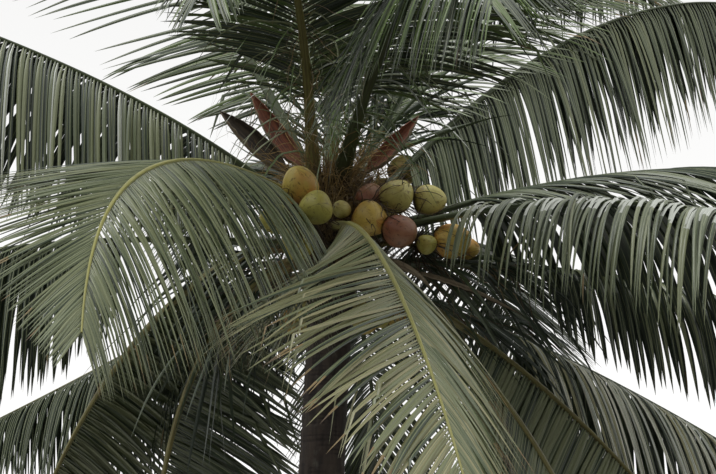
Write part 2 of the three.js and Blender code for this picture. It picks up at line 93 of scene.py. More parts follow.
# Meshes from arrays
def gridFaces(count, rows, columns, closed=False):
    # quads of separate grids, each rows by columns points
    wide = columns if closed else columns - 1
    row, column = np.meshgrid(np.arange(rows - 1), np.arange(wide), indexing="ij")
    after = (column + 1) % columns
    near = row * columns
    quads = np.stack([near + column, near + after, near + columns + after, near + columns + column], -1)
    firsts = np.arange(count) * rows * columns
    return (quads.reshape(1, -1, 4) + firsts[:, None, None]).reshape(-1, 4)


def roundFaces(shape):
    # the skin of one round shape, ring by ring
    return gridFaces(1, shape["rows"], shape["columns"], closed=True)


def newObject(name, data):
    made = bpy.data.objects.new(name, data)
    bpy.context.scene.collection.objects.link(made)
    return made


def makePiece(name, points, faces, materials, nodes, faceSlots=None, uv=None, marks=None):
    mesh = bpy.data.meshes.new(name)
    mesh.from_pydata(points.reshape(-1, 3).tolist(), [], faces.tolist())
    for material in materials:
        mesh.materials.append(material)
    mesh.polygons.foreach_set("use_smooth", np.ones(len(faces), bool))
    if faceSlots is not None:
        mesh.polygons.foreach_set("material_index", faceSlots.astype(np.int32))
    if uv is not None:
        corners = np.empty(len(mesh.loops), np.int32)
        mesh.loops.foreach_get("vertex_index", corners)
        layer = mesh.uv_layers.new(name="grain")
        layer.data.foreach_set("uv", uv.reshape(-1, 2)[corners].astype(np.float32).ravel())
    for mark, values in (marks or {}).items():
        layer = mesh.attributes.new(mark, "FLOAT", "POINT")
        layer.data.foreach_set("value", values.astype(np.float32).ravel())
    piece = newObject(name, mesh)
    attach(piece, "root")
    if nodes:
        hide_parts(*nodes)


def crossAxes(paths):
    # two directions across each path at each of its points
    ways = unit(np.gradient(paths, axis=-2))
    lean = np.abs(ways[..., 2]).mean(-1)
    helper = np.where(lean[..., None] > 0.75, np.array([1.0, 0.3, 0.0]), np.array([0.0, 0.0, 1.0]))
    across = unit(np.cross(ways, helper[..., None, :]))
    return across, np.cross(ways, across)


def trail(start, length, steps, wayAt):
    # paths that turn as they go: wayAt gives the way of each step
    points = [start]
    for i in range(steps):
        points.append(points[-1] + unit(wayAt(i)) * (length / steps)[:, None])
    return np.stack(points, 1)


def tubes(paths, radii, sides):
    # points of round tubes along paths, and their faces
    across, other = crossAxes(paths)
    ring = turned(across[..., None, :], other[..., None, :], roundTurns(sides)[:, None])[0]
    radii = np.broadcast_to(radii, paths.shape[:-1])[..., None, None]
    points = paths[..., None, :] + ring * radii
    return points, gridFaces(paths.shape[0], paths.shape[1], sides, closed=True)


def tubeUv(points):
    rows, sides = points.shape[1:3]
    uv = np.stack(np.broadcast_arrays(np.arange(sides) / sides, (np.arange(rows) / rows)[:, None]), -1)
    return np.broadcast_to(uv, points.shape[:3] + (2,))


def joinParts(parts):
    # one set of points, faces and uv out of several
    points, faces, uvs, slots, first = [], [], [], [], 0
    for partPoints, partFaces, partUv, partSlot in parts:
        flat = partPoints.reshape(-1, 3)
        points.append(flat)
        faces.append(partFaces + first)
        uvs.append(partUv.reshape(-1, 2))
        slots.append(np.broadcast_to(partSlot, len(partFaces)))
        first += len(flat)
    return np.concatenate(points), np.concatenate(faces), np.concatenate(uvs), np.concatenate(slots)


# Finishes
class Socket:  # a node's output in a sum: 0.5 * mask adds its own Math node
    def __init__(self, paint, port):
        self.paint = paint
        self.port = port

    def math(self, operation, first, second):
        return self.paint.node("ShaderNodeMath", {"operation": operation}, {0: first, 1: second})

    def __add__(self, other):
        return self.math("ADD", self, other)

    def __radd__(self, other):
        return self.math("ADD", other, self)

    def __mul__(self, other):
        return self.math("MULTIPLY", self, other)

    def __rmul__(self, other):
        return self.math("MULTIPLY", other, self)


class Paint:  # a material and the nodes of its finish
    def __init__(self, name):
        self.material = bpy.data.materials.new(name)
        self.material.use_nodes = True
        self.tree = self.material.node_tree
        self.tree.nodes.clear()
        self.surface = self.tree.nodes.new("ShaderNodeBsdfPrincipled")
        output = self.tree.nodes.new("ShaderNodeOutputMaterial")
        self.tree.links.new(self.surface.outputs[0], output.inputs["Surface"])

    def node(self, kind, settings=None, inputs=None, output=0):
        made = self.tree.nodes.new(kind)
        for setting, value in (settings or {}).items():
            setattr(made, setting, value)
        for name, value in (inputs or {}).items():
            self.feed(made.inputs[name], value)
        return Socket(self, made.outputs[output])

    def feed(self, port, value):
        if isinstance(value, Socket):
            self.tree.links.new(value.port, port)
        else:
            port.default_value = value

    def blend(self, share, first, second):
        return self.node("ShaderNodeMix", {"data_type": "RGBA"}, {0: share, 6: first, 7: second}, 2)

    def grain(self, place, factors, detail=3.0, roughness=0.55):
        # noise, as fine as its factors along each axis
        factors = factors if isinstance(factors, tuple) else (factors, factors, factors)
        vector = self.node("ShaderNodeTexCoord", output=place)
        vector = self.node("ShaderNodeVectorMath", {"operation": "MULTIPLY"}, {0: vector, 1: factors})
        inputs = {"Vector": vector, "Scale": 1.0, "Detail": detail, "Roughness": roughness}
        return self.node("ShaderNodeTexNoise", None, inputs)

    def between(self, value, low, high):
        inputs = {"Value": value, "From Min": low, "From Max": high}
        return self.node("ShaderNodeMapRange", {"interpolation_type": "SMOOTHSTEP"}, inputs)

    def cover(self, under, mask, low, high, share, over):
        # a second colour over the first, where the mask rises from low to high
        return self.blend(self.between(mask, low, high) * share, under, over)

    def mark(self, name):
        return self.node("ShaderNodeAttribute", {"attribute_name": name}, None, "Fac")

    def bump(self, height, strength, distance):
        inputs = {"Height": height, "Strength": strength, "Distance": distance}
        return self.node("ShaderNodeBump", None, inputs)

    def finish(self, **values):
        names = {"colour": "Base Color", "roughness": "Roughness", "normal": "Normal", "ior": "IOR",
                 "specular": "Specular IOR Level"}
        for key, value in values.items():
            self.feed(self.surface.inputs[names[key]], value)
        return self.material


def tone(red, green, blue, light=1.0):
    # a colour as seen on screen, 0 to 255, turned into the shader's own scale
    shares = [value / 255 for value in (red, green, blue)]
    linear = [((share + 0.055) / 1.055) ** 2.4 if share > 0.04 else share / 12.92 for share in shares]
    return (linear[0] * light, linear[1] * light, linear[2] * light, 1.0)


# The leaf colours: a tone, the tone of its paler veins, how rough it is and how much it shines
leafTones = {
    "dull": dict(base=(40, 52, 35), vein=(52, 65, 46), rough=0.62, shine=0.25),
    "deep": dict(base=(35, 48, 32), vein=(47, 61, 42), rough=0.40),
    "shade": dict(base=(49, 63, 41), vein=(64, 79, 54), rough=0.38),
    "green": dict(base=(60, 74, 45), vein=(77, 91, 58), rough=0.36),
    "grey": dict(base=(84, 96, 62), vein=(102, 113, 80), rough=0.36),
    "pale": dict(base=(116, 124, 84), vein=(134, 140, 104), rough=0.36),
    "olive": dict(base=(112, 114, 74), vein=(134, 133, 92), rough=0.42),
    "straw": dict(base=(150, 147, 104), vein=(168, 163, 124), rough=0.48),
    # highlight and silver are near-white tones, painted highlight: the sky's sheen on the leaflets
    "highlight": dict(base=(212, 212, 190), vein=(226, 226, 208), rough=0.40),
    "silver": dict(base=(184, 190, 176), vein=(202, 206, 196), rough=0.32),
    "fresh": dict(base=(80, 104, 46), vein=(104, 126, 66), rough=0.38),
    "tan": dict(base=(122, 102, 62), vein=(146, 126, 84), rough=0.60),
    "brown": dict(base=(84, 66, 45), vein=(108, 90, 64), rough=0.70),
}


def leafPaint(name, base, vein, rough, shine=0.65):
    paint = Paint(name)
    veins = paint.grain("UV", (34.0, 1.4, 1.0), 4.0)
    patches = paint.grain("Object", 2.3, 2.0)
    specks = paint.grain("Object", 38.0, 2.0)
    streaked = paint.blend(paint.between(veins, 0.38, 0.66), tone(*base, 0.72), tone(*vein, 0.9))
    yellowed = paint.cover(streaked, patches, 0.52, 0.80, 0.35, tone(*vein, 0.95))
    spotted = paint.cover(yellowed, specks, 0.66, 0.80, 0.30, tone(92, 80, 52))
    normal = paint.bump(veins, 0.35, 0.0016)
    roughness = rough - 0.10 + 0.16 * patches
    return paint.finish(colour=spotted, roughness=roughness, normal=normal, ior=1.5, specular=shine)


leafPaints = {name: leafPaint("leaf" + name.capitalize(), **tones) for name, tones in leafTones.items()}

ribTones = {
    "ribYellow": dict(base=(158, 156, 92), mark=(122, 120, 64), rough=0.42),
    "ribGreen": dict(base=(66, 78, 44), mark=(48, 56, 32), rough=0.40),
    "ribOlive": dict(base=(122, 118, 66), mark=(82, 72, 40), rough=0.46),
}


def ribPaint(name, base, mark, rough):
    paint = Paint(name)
    fibres = paint.grain("UV", (26.0, 2.2, 1.0), 4.0)
    blotches = paint.grain("Object", 6.0, 4.0)
    scuffs = paint.grain("Object", (60.0, 60.0, 22.0), 3.0)
    streaked = paint.blend(paint.between(fibres, 0.35, 0.68), tone(*base), tone(*mark))
    weathered = paint.cover(streaked, blotches, 0.56, 0.74, 0.45, tone(*mark, 0.8))
    scuffed = paint.cover(weathered, scuffs, 0.66, 0.76, 0.5, tone(74, 60, 44))
    woody = paint.mark("woody")
    colour = paint.blend(woody, scuffed, tone(58, 46, 32))
    normal = paint.bump(fibres + 0.4 * scuffs, 0.4, 0.002)
    return paint.finish(colour=colour, roughness=rough + 0.25 * woody, normal=normal, ior=1.45)


ribPaints = {name: ribPaint(name, **tones) for name, tones in ribTones.items()}
print("leaf and rib finishes made")


# Fronds: how each age carries its leaflets, by their sag, how soon it tells, their angle
# to the rib and how far they stand above its plane
habits = {
    "curtain": dict(sag=5.0, hang=0.45, open=64, vee=0, twist=24, slim=0.66, wide=1.5),
    "level": dict(sag=8.0, hang=1.4, open=68, vee=6, slim=0.72, wide=1.5),
    "low": dict(sag=7.0, hang=0.7, open=60, vee=3, slim=0.84, wide=1.15),
    "folded": dict(sag=0.26, hang=0.8, open=80, vee=86, unfold=0, tip=50, rollBy=0.16, sway=0.5, twist=16,
                   broad=1.2, rib="ribOlive"),
    "swept": dict(sag=0.7, hang=0.5, open=44, vee=0),
    "front": dict(sag=0.5, hang=0.9, open=57, vee=0, twist=8, sway=0.6, bend=1, rib="ribYellow"),
    "young": dict(sag=0.8, hang=0.6, open=60, vee=5),
    "drooping": dict(sag=1.7, hang=0.5, open=58, vee=0),
}

# How many of a frond's leaflets take each colour, in its near row and then in its far one. Dark
# tones in the far rows are painted shade behind the near row, and the dark palettes under, shaded,
# gloom and swept paint shade onto fronds that are in shadow or seen from below.
palettes = {
    "under": [dict(shade=4, deep=3, fresh=3)] * 2,
    "silver": [dict(pale=4, grey=5, shade=2), dict(pale=5, grey=4, deep=2)],
    "shining": [dict(grey=5, green=3, pale=3), dict(deep=6, shade=3)],
    "sunny": [dict(straw=6, olive=4, pale=3, shade=3), dict(pale=4, grey=4, olive=4, straw=1, shade=1)],
    "hanging": [dict(green=4, grey=3, shade=3, pale=1), dict(deep=6, shade=3)],
    "striped": [dict(highlight=6, silver=4, straw=4, deep=4), dict(deep=6, shade=3)],
    "dappled": [dict(grey=4, pale=6, shade=3)] * 2,
    "lit": [dict(pale=4, silver=1, grey=4, shade=3, deep=3), dict(deep=6, shade=3)],
    "swept": [dict(dull=6, shade=3, grey=2)] * 2,
    "gloom": [dict(deep=4, shade=3, pale=3, silver=1), dict(deep=4, shade=1)],
    "mottled": [dict(green=4, grey=4, shade=3)] * 2,
    "shaded": [dict(dull=5, shade=2), dict(dull=4, deep=1)],
    "fresh": [dict(green=5, fresh=3, grey=2), dict(green=5, fresh=3, shade=2)],
}

# A frond's rise, droop and turn shape its rib, and long and short its first and last leaflets.
# Its near row is slim and its far one wide, paintedSheen is the share of near leaflets painted silver
# at their bend, a painted highlight, and torn is a stretch of one row with the share of it that is lost.
plainFrond = dict(
    bend=1.2, turn=0, roll=0, rollBy=0.62, length=4.3, seat=None, rib="ribGreen", stout=1.0, stalk=0.16,
    palette="hanging", near=1, paintedSheen=0, dryTips=0.03, kinks=0.05, torn=(0, 0, 1, 0), pairs=150,
    lean=0, tip=24, unfold=0.6, twist=14, sway=1.0, uneven=0, skew=0, long=1.0, short=1.0, broad=1.0,
    slim=1.0, wide=1.0)
fronds = {
    "frond_front": dict(
        habit="front", height=0.11, heading=278, rise=-7, droop=58, turn=14, roll=10, open=50, lean=-26,
        vee=-65, unfold=2.6, uneven=-0.4, long=1.35, short=0.75, broad=0.9, palette="sunny", dryTips=0.5,
        kinks=0.12, stalk=0.1, stout=0.75),
    "frond_front_left": dict(
        habit="front", height=0.16, heading=239, rise=15, droop=70, turn=35, roll=22, open=62, lean=18,
        vee=-26, unfold=1.6, sag=0.9, uneven=-0.8, long=1.42, skew=-0.08, broad=0.66, pairs=200,
        length=3.75, palette="silver", dryTips=0.12, stalk=0.13),
    "frond_overhead_front": dict(
        habit="young", height=0.24, heading=264, rise=79, droop=141, bend=0.95, turn=-6, seat=205,
        length=4.1, sag=0.45, palette="under", rib="ribOlive"),
    "frond_overhead_right": dict(
        habit="drooping", height=0.34, heading=287, rise=48, droop=90, bend=0.84, turn=-17, sag=1.2,
        uneven=0.5, palette="under"),
    "frond_right_arching": dict(
        habit="curtain", height=0.18, heading=28, rise=47, droop=50, bend=1.5, turn=20, lean=-20,
        uneven=0.7, stalk=0.12, pairs=180, stout=1.35),
    "frond_left_upper": dict(
        habit="curtain", height=0.14, heading=198, rise=49, droop=43, bend=0.45, turn=-4, lean=10,
        uneven=-0.6, near=-1, palette="lit", stalk=0.14, slim=0.9, pairs=165),
    "frond_right_level": dict(
        habit="level", height=0.04, heading=328, rise=9, droop=48, bend=1.1, palette="shining",
        stalk=0.18, open=88, tip=72, sag=3.2, hang=1.2, paintedSheen=0.75, slim=0.8, pairs=165),
    "frond_right_swept": dict(
        habit="swept", height=0.07, heading=6, rise=22, droop=41, bend=1.1, turn=8, palette="swept",
        pairs=180, broad=0.8),
    "frond_right_lower": dict(
        habit="level", height=-0.08, heading=352, rise=-1, droop=42, bend=1.4, stalk=0.24, long=0.85,
        short=0.7, palette="gloom"),
    "frond_left_level": dict(
        habit="curtain", height=0.02, heading=192, rise=2, droop=38, bend=1.3, near=-1, stalk=0.25,
        palette="shaded"),
    "frond_left_low": dict(
        habit="low", height=-0.12, heading=112, rise=17, droop=34, bend=0.5, turn=35, near=-1,
        palette="shaded", rib="ribOlive", stalk=0.24),
    "frond_right_low": dict(
        habit="low", height=-0.182, heading=32, rise=-1, droop=28, bend=0.5, turn=-10,
        palette="striped", stalk=0.27),
    "frond_hanging_left": dict(
        habit="folded", height=0.02, heading=137, rise=32, droop=108, bend=0.49, turn=-5, long=1.1,
        short=1.1, length=4.4, palette="dappled", roll=-86, stout=1.05, stalk=0.22),
    "frond_hanging_back": dict(
        habit="folded", height=-0.06, heading=134, rise=28, droop=150, bend=0.52, turn=-30, long=1.25,
        short=1.1, length=4.4, palette="mottled", roll=-86, stout=1.1, stalk=0.18),
    "frond_back_right_low": dict(
        habit="folded", height=-0.132, heading=12, rise=-12, droop=50, bend=0.5, palette="dappled",
        vee=-84, open=82, tip=56, sag=0.25, stout=1.3, stalk=0.2),
    "frond_hanging_right": dict(
        habit="folded", height=-0.182, heading=-12, rise=-14, droop=78, bend=0.5, palette="dappled",
        vee=-84, open=46, tip=30, sag=0.4, stout=1.7, stalk=0.2),
    "frond_upright_left": dict(
        habit="young", height=0.32, heading=150, rise=64, droop=50, bend=1.5, turn=-10, seat=135,
        length=4.2, open=78, tip=45, sag=0.25, roll=58, rollBy=0.15, long=0.75, short=1.35,
        torn=(0.2, 0.6, -1, 0.78), palette="fresh"),
    "frond_upright_right": dict(
        habit="young", height=0.30, heading=52, rise=57, droop=58, bend=1.3, palette="fresh"),
    "frond_upright_back": dict(
        habit="young", height=0.36, heading=95, rise=70, droop=64, bend=1.3, palette="fresh"),
    "frond_back_rising": dict(habit="young", height=0.12, heading=105, rise=36, droop=60, palette="fresh"),
    "frond_back_right": dict(habit="young", height=0.06, heading=68, rise=20, droop=60),
    "frond_back_level": dict(habit="young", height=-0.05, heading=85, rise=8, droop=62),
}

ribShape = dict(baseWidth=0.062, tipWidth=0.010, baseDepth=0.042, tipDepth=0.009, thinning=1.3,
                steepest=-85, stations=84, crowding=1.35, sides=14, flare=1.2, flareLength=0.36,
                inward=0.06, gutter=0.75, gutterEnd=0.4, woody=0.85, woodyEnd=0.22)
leafletShape = dict(length=1.05, steps=11, width=0.034, fold=34, ridge=0.0042, clear=0.006,
                    footOut=0.75, footUp=0.25, narrowest=0.34, shortWidth=0.72)
# how much single leaflets differ from the rule
leafletChance = dict(spacing=0.3, swing=3.0, open=1.5, lift=5, vee=3, sag=0.13, sagDrift=0.16,
                     kinkAt=(0.45, 0.85), kink=(0.8, 2.6), curl=0.10, length=(0.93, 1.03), twist=0.35,
                     width=(0.88, 1.10), dryFrom=(0.78, 0.97), burnt=0.12, lost=0.015)


def ribAxes(frond, share):
    # forward, to the right side and out of the upper face, at shares of a rib's length
    share = np.asarray(share, float)
    climb = frond["rise"] - frond["droop"] * share ** frond["bend"]
    climb = np.radians(np.maximum(climb, ribShape["steepest"]))
    heading = np.radians(frond["heading"] + frond["turn"] * share ** 1.5)
    level = np.stack([np.sin(heading), -np.cos(heading), 0 * heading], -1)
    flat = np.stack([np.cos(heading), np.sin(heading)], -1) * np.cos(climb)[..., None]
    forward = np.concatenate([flat, np.sin(climb)[..., None]], -1)
    upper = np.cross(level, forward)
    roll = np.radians(frond["roll"] * np.minimum(1, share / frond["rollBy"]))[..., None]
    return forward, *turned(level, upper, roll)


def fullFrond(node):
    own = fronds[node]
    return {**plainFrond, **habits[own["habit"]], **own}


def ribLine(frond, steps=96):
    seat = frond["heading"] if frond["seat"] is None else frond["seat"]
    start = inCrown(seat, heartRadius(frond["height"]), frond["height"])
    forward = ribAxes(frond, (np.arange(steps) + 0.5) / steps)[0]
    moves = np.cumsum(forward * frond["length"] / steps, axis=0)
    return np.vstack([start, start + moves])


def onLine(line, share):
    steps = len(line) - 1
    before = np.minimum(steps - 1, (share * steps).astype(int))
    return line[before] + (line[before + 1] - line[before]) * (share * steps - before)[..., None]


def ribHalf(share, side):
    # half a rib's Width or Depth, which it loses towards its tip
    return lerp(ribShape["tip" + side], ribShape["base" + side], (1 - share) ** ribShape["thinning"]) / 2


def growRib(frond):
    shape = ribShape
    share = np.linspace(0, 1, shape["stations"]) ** shape["crowding"]
    forward, right, face = ribAxes(frond, share)
    flare = 1 + shape["flare"] * np.exp(-share * frond["length"] / shape["flareLength"])
    halfWidth = ribHalf(share, "Width") * flare * frond["stout"]
    halfDepth = ribHalf(share, "Depth") * (1 + 0.4 * (flare - 1))
    turn = roundTurns(shape["sides"])
    side = np.sign(np.cos(turn)) * np.abs(np.cos(turn)) ** 0.75
    rise = np.sign(np.sin(turn)) * np.abs(np.sin(turn)) ** 0.8
    hollow = shape["gutter"] * (1 - easeStep(share, 0.02, shape["gutterEnd"]))[:, None]
    hollow = hollow * np.exp(-(side * 1.7) ** 2)
    rise = np.where(rise > 0, rise * (1 - hollow), rise)  # a gutter runs up the stalk
    points = onLine(ribLine(frond), share)[:, None]
    points = points + right[:, None] * (side * halfWidth[:, None])[..., None]
    points = points + face[:, None] * (rise * halfDepth[:, None])[..., None]
    inner = points[0] - forward[0] * shape["inward"]
    points = np.concatenate([inner[None], points])[None]
    along = np.append(-0.02, share) * frond["length"]
    uv = np.stack(np.meshgrid(np.arange(shape["sides"]) / shape["sides"], along), -1)[None]
    woody = np.append(1, 1 - easeStep(share * frond["length"], 0.05, shape["woodyEnd"]))
    woody = np.repeat(woody * shape["woody"], shape["sides"])
    return points, gridFaces(1, points.shape[1], shape["sides"], closed=True), uv, woody


def leafletLength(share):
    return leafletShape["length"] * (0.1 + 0.9 * np.sin(math.pi * (0.09 + 0.88 * share ** 0.8)) ** 0.65)


def leafletPaths(frond, rng):
    # middle lines of a frond's leaflets, right side first
    shape, chance = leafletShape, leafletChance
    pairs = frond["pairs"]
    count = 2 * pairs
    share = np.tile((np.arange(pairs) + 0.5) / pairs, 2)
    share = np.clip(share + rng.uniform(-chance["spacing"], chance["spacing"], count) / pairs, 0, 1)
    side = np.repeat([1.0, -1.0], pairs)

    def rowDrift(size):
        return np.concatenate([drift(rng, row, size) for row in (share[:pairs], share[pairs:])])

    ribShare = lerp(frond["stalk"], 1, share)
    forward, right, face = ribAxes(frond, ribShare)
    swing = rowDrift(chance["swing"]) * frond["sway"]
    open = frond["open"] - frond["lean"] * side  # a leaning blade opens wider on one side
    angle = np.radians(lerp(open, frond["tip"], share) + swing + rng.normal(0, chance["open"], count))
    lift = rowDrift(chance["lift"]) * frond["sway"]
    vee = frond["vee"] * np.maximum(0, 1 - frond["unfold"] * share) + lift
    vee = np.radians(vee + rng.normal(0, chance["vee"], count) * frond["sway"])
    outward = right * (side * np.cos(vee))[:, None] + face * np.sin(vee)[:, None]
    start = forward * np.cos(angle)[:, None] + outward * np.sin(angle)[:, None]
    ease = rng.normal(0, chance["sag"], count) + drift(rng, share + side, chance["sagDrift"])
    sag = frond["sag"] * (1 + frond["uneven"] * side) * np.exp(ease * frond["sway"])
    kinked = rng.random(count) < frond["kinks"]
    kinkAt = rng.uniform(*chance["kinkAt"], count)
    kink = np.where(kinked, rng.uniform(*chance["kink"], count), 0.0)
    curl = rng.normal(0, chance["curl"], count)
    length = leafletLength(share) * lerp(frond["long"], frond["short"], share)
    length = length * (1 + frond["skew"] * side) * rng.uniform(*chance["length"], count)
    half = ribHalf(ribShare, "Width")
    foot = onLine(ribLine(frond), ribShare) + right * (side * half * shape["footOut"])[:, None]
    foot = foot + face * (half * shape["footUp"])[:, None]

    def wayAt(step):
        along = (step + 0.5) / shape["steps"]
        weight = sag * along ** frond["hang"] + kink * (along > kinkAt)
        return start + pull * weight[:, None] + forward * (curl * along)[:, None]

    return trail(foot, length, shape["steps"], wayAt), forward, right, side, share


def ribbons(paths, across, normal, half, fold):
    # blades folded along their middle, four points across
    fold = np.radians(fold)[None, :, None]
    ridge = np.minimum(leafletShape["ridge"] / 2, half * 0.25)
    edge = across * half[..., None] * np.cos(fold)
    drop = normal * half[..., None] * np.sin(fold)
    crest = across * ridge[..., None]
    return np.stack([paths + edge - drop, paths + crest, paths - crest, paths - edge - drop], 2)


def bladeUv(reach, first=0):
    # across each blade and along it
    across = np.array([0.0, 0.45, 0.55, 1.0]) + np.reshape(first, (-1, 1, 1))
    return np.stack(np.broadcast_arrays(across, reach[..., None]), -1)


def dealOut(rng, tones, count):
    # which of the tones each leaf gets, by their weights
    weights = np.array(list(tones.values()), float)
    return rng.choice(len(weights), count, p=weights / weights.sum())


def pushClear(points, clear):
    # leaflets and twigs lie on the nuts, not in them
    for middle, radius in nutBalls:
        apart = points - middle
        distance = np.linalg.norm(apart, axis=-1, keepdims=True)
        points = np.where(distance < radius + clear, middle + apart / distance * (radius + clear), points)
    return points


def tintLeaflets(frond, rng, side, along):
    # the finishes of a frond's leaflets, and which of them each face takes
    near = side == frond["near"]
    palette = palettes[frond["palette"]]
    names = sorted(palette[0].keys() | palette[1].keys()) + ["silver", "pale", "tan", "brown"]
    silver, pale, tan, brown = range(len(names) - 4, len(names))
    slots = np.zeros((len(side), len(along) - 1, 3), int)
    # the far row's darker palette is painted shade
    for mine, tones in zip((near, ~near), palette):
        numbers = np.array([names.index(name) for name in tones])
        slots[mine] = numbers[dealOut(rng, tones, mine.sum())][:, None, None]
    slots[:, :, 1] = pale  # the midrib
    shining = near & (rng.random(len(side)) < frond["paintedSheen"])
    slots[shining, 1:4] = silver  # painted highlight: silver where a bent leaflet turns its face to the sky
    dry = rng.random(len(side)) < frond["dryTips"]
    dryFrom = rng.uniform(*leafletChance["dryFrom"], len(side))
    for tint, start in ((tan, dryFrom), (brown, dryFrom + leafletChance["burnt"])):
        slots[(along[1:] > start[:, None]) & dry[:, None]] = tint
    return [leafPaints[name] for name in names], slots


def growLeaflets(frond, rng):
    shape, chance = leafletShape, leafletChance
    paths, forward, right, side, share = leafletPaths(frond, rng)
    paths[:, 1:] = pushClear(paths[:, 1:], shape["clear"])
    count, rows = paths.shape[:2]
    ways = unit(np.gradient(paths, axis=1))
    along = np.arange(rows) / (rows - 1)
    across = forward[:, None] - ways * (forward[:, None] * ways).sum(-1, keepdims=True)
    across = across + right[:, None] * (0.02 * side)[:, None, None]
    across = unit(across - ways * (across * ways).sum(-1, keepdims=True))
    normal = np.cross(ways, across) * side[:, None, None]
    twist = rng.normal(0, 1, count)[:, None] * along + rng.normal(0, chance["twist"], count)[:, None]
    across, normal = turned(across, normal, np.radians(twist * frond["twist"])[..., None])
    length = leafletLength(share)
    size = lerp(shape["shortWidth"], 1.0, length / shape["length"]) * rng.uniform(*chance["width"], count)
    taper = lerp(shape["narrowest"], 1.0, easeStep(along, 0, 0.16)) * (1 - along ** 2.3) ** 0.8 + 0.02
    broad = frond["broad"] * np.where(side == frond["near"], frond["slim"], frond["wide"])
    half = shape["width"] / 2 * (size * broad)[:, None] * taper[None]
    points = ribbons(paths, across, normal, half, shape["fold"] * (1 - 0.5 * along))
    uv = bladeUv(along * length[:, None], np.arange(count))
    materials, slots = tintLeaflets(frond, rng, side, along)
    low, high, row, lost = frond["torn"]
    gone = np.where((side == row) & (share > low) & (share < high), lost, chance["lost"])
    keep = rng.random(count) > gone
    return points[keep], gridFaces(keep.sum(), rows, 4), materials, slots[keep].ravel(), uv[keep]


# Nuts: a bunch's stalk seat, its hub and its nuts. A nut is heading, distance from the
# crown's middle, height, radius and finish.
bunches = {
    "bunch_left": dict(seat=(258, 0.22), hub=(251, 0.44, 0.10), nuts=[
        (253, 0.62, 0.25, 0.102, "nutAmber"), (263, 0.71, 0.095, 0.094, "nutGreen"),
        (230, 0.50, 0.10, 0.084, "nutGreen"), (246, 0.46, -0.04, 0.098, "nutGreen")]),
    "bunch_front": dict(seat=(300, 0.16), hub=(302, 0.32, 0.13), nuts=[
        (277, 0.42, 0.15, 0.050, "nutPale"), (314, 0.31, 0.26, 0.080, "nutRed"),
        (297, 0.47, 0.09, 0.101, "nutOrange"), (309, 0.61, 0.01, 0.092, "nutRed")]),
    "bunch_right": dict(seat=(335, 0.24), hub=(333, 0.37, 0.25), nuts=[
        (319, 0.49, 0.25, 0.096, "nutPale"), (336, 0.61, 0.24, 0.086, "nutPale")]),
    "bunch_far_right": dict(seat=(340, -0.03), hub=(334, 0.52, -0.02), nuts=[
        (323, 0.67, -0.05, 0.056, "nutGreen"), (335, 0.75, -0.01, 0.098, "nutAmber"),
        (348, 0.79, -0.025, 0.064, "nutOrange")]),
    "bunch_high_right": dict(seat=(70, 0.20), hub=(57, 0.33, 0.32), nuts=[
        (43, 0.58, 0.57, 0.090, "nutGreen"), (60, 0.62, 0.47, 0.088, "nutGreen"),
        (42, 0.42, 0.30, 0.060, "nutPale")]),
}
ringBunch = dict(headings={"bunch_back_right": 58, "bunch_back": 105}, seatHeight=-0.16, reach=0.50,
                 height=-0.22, count=5, ring=0.12, drop=0.09, step=0.022, radius=0.072)
stalkShape = dict(base=0.017, hub=0.013, stem=0.007, arch=0.06, stemArch=0.012, inward=0.045)


def addRingBunches():
    ring = ringBunch
    for name, heading in ring["headings"].items():
        hub = inCrown(heading, ring["reach"], 0) - np.array(crown["middle"])
        nuts = []
        for i in range(ring["count"]):
            turn = math.radians(heading + 360 * i / ring["count"])
            x = hub[0] + ring["ring"] * math.cos(turn)
            y = hub[1] + ring["ring"] * math.sin(turn)
            height = ring["height"] - ring["drop"] - ring["step"] * (i % 2)
            finish = ["nutGreen", "nutAmber", "nutPale"][i % 3]
            nuts.append((math.degrees(math.atan2(y, x)), math.hypot(x, y), height, ring["radius"], finish))
        middle = (heading, ring["reach"], ring["height"])
        bunches[name] = dict(seat=(heading, ring["seatHeight"]), hub=middle, nuts=nuts)


addRingBunches()
nutBalls = [(inCrown(*nut[:3]), nut[3] * 1.04) for bunch in bunches.values() for nut in bunch["nuts"]]


def pieceName(node, part):
    words = node.split("_")
    return words[0] + "".join(word.capitalize() for word in words[1:]) + part


def growFronds():
    for number, node in enumerate(fronds):
        frond = fullFrond(node)
        rng = np.random.default_rng(100 + number)
        points, faces, uv, woody = growRib(frond)
        makePiece(pieceName(node, "Rib"), points, faces, [ribPaints[frond["rib"]]], [node],
                  uv=uv, marks={"woody": woody})
        points, faces, materials, slots, uv = growLeaflets(frond, rng)
        makePiece(pieceName(node, "Leaflets"), points, faces, materials, [node], slots, uv)


growFronds()
print("fronds grown")


# Trunk: a leaning shaft with leaf scars, cracks and a swollen foot
# damp gives the heights over which the bark is painted darker, painted shade under the crown
trunkShape = dict(lean=0.30, leanBend=1.25, foot=0.150, taper=0.022, flare=0.105, flareHeight=0.26,
                  lobes=5, lobeDepth=0.08, lobeHeight=0.22, sheathFrom=7.25, sheathTo=7.43, top=8.12,
                  heartTop=8.02, tipRadius=0.040, rows=700, columns=64, scarPitch=0.060,
                  scarPitchTop=0.034, scarWander=0.45, scarWidth=0.13, groove=0.0055, lip=0.0030,
                  crack=0.0040, fine=0.0035, knots=0.007, knotHeight=0.25, damp=(4.8, 6.6))


# how fine the bark's wander, grain and cracks are along each axis, and where their noise starts
barkNoises = [((3.5, 3.5, 1.6), 5.0), ((26.0, 26.0, 8.0), 11.0), ((30.0, 30.0, 3.2), 23.0)]


def barkNoise(places, stretch, start, detail=3):
    values = [noise.fractal(Vector(place), 1.0, 2.0, detail)
              for place in places.reshape(-1, 3) * np.array(stretch) + start]
    return np.reshape(values, places.shape[:-1])


def trunkMiddle(height):
    share = np.minimum(1, height / crown["middle"][2])
    return np.stack([trunkShape["lean"] * share ** trunkShape["leanBend"], 0 * height, height], -1)


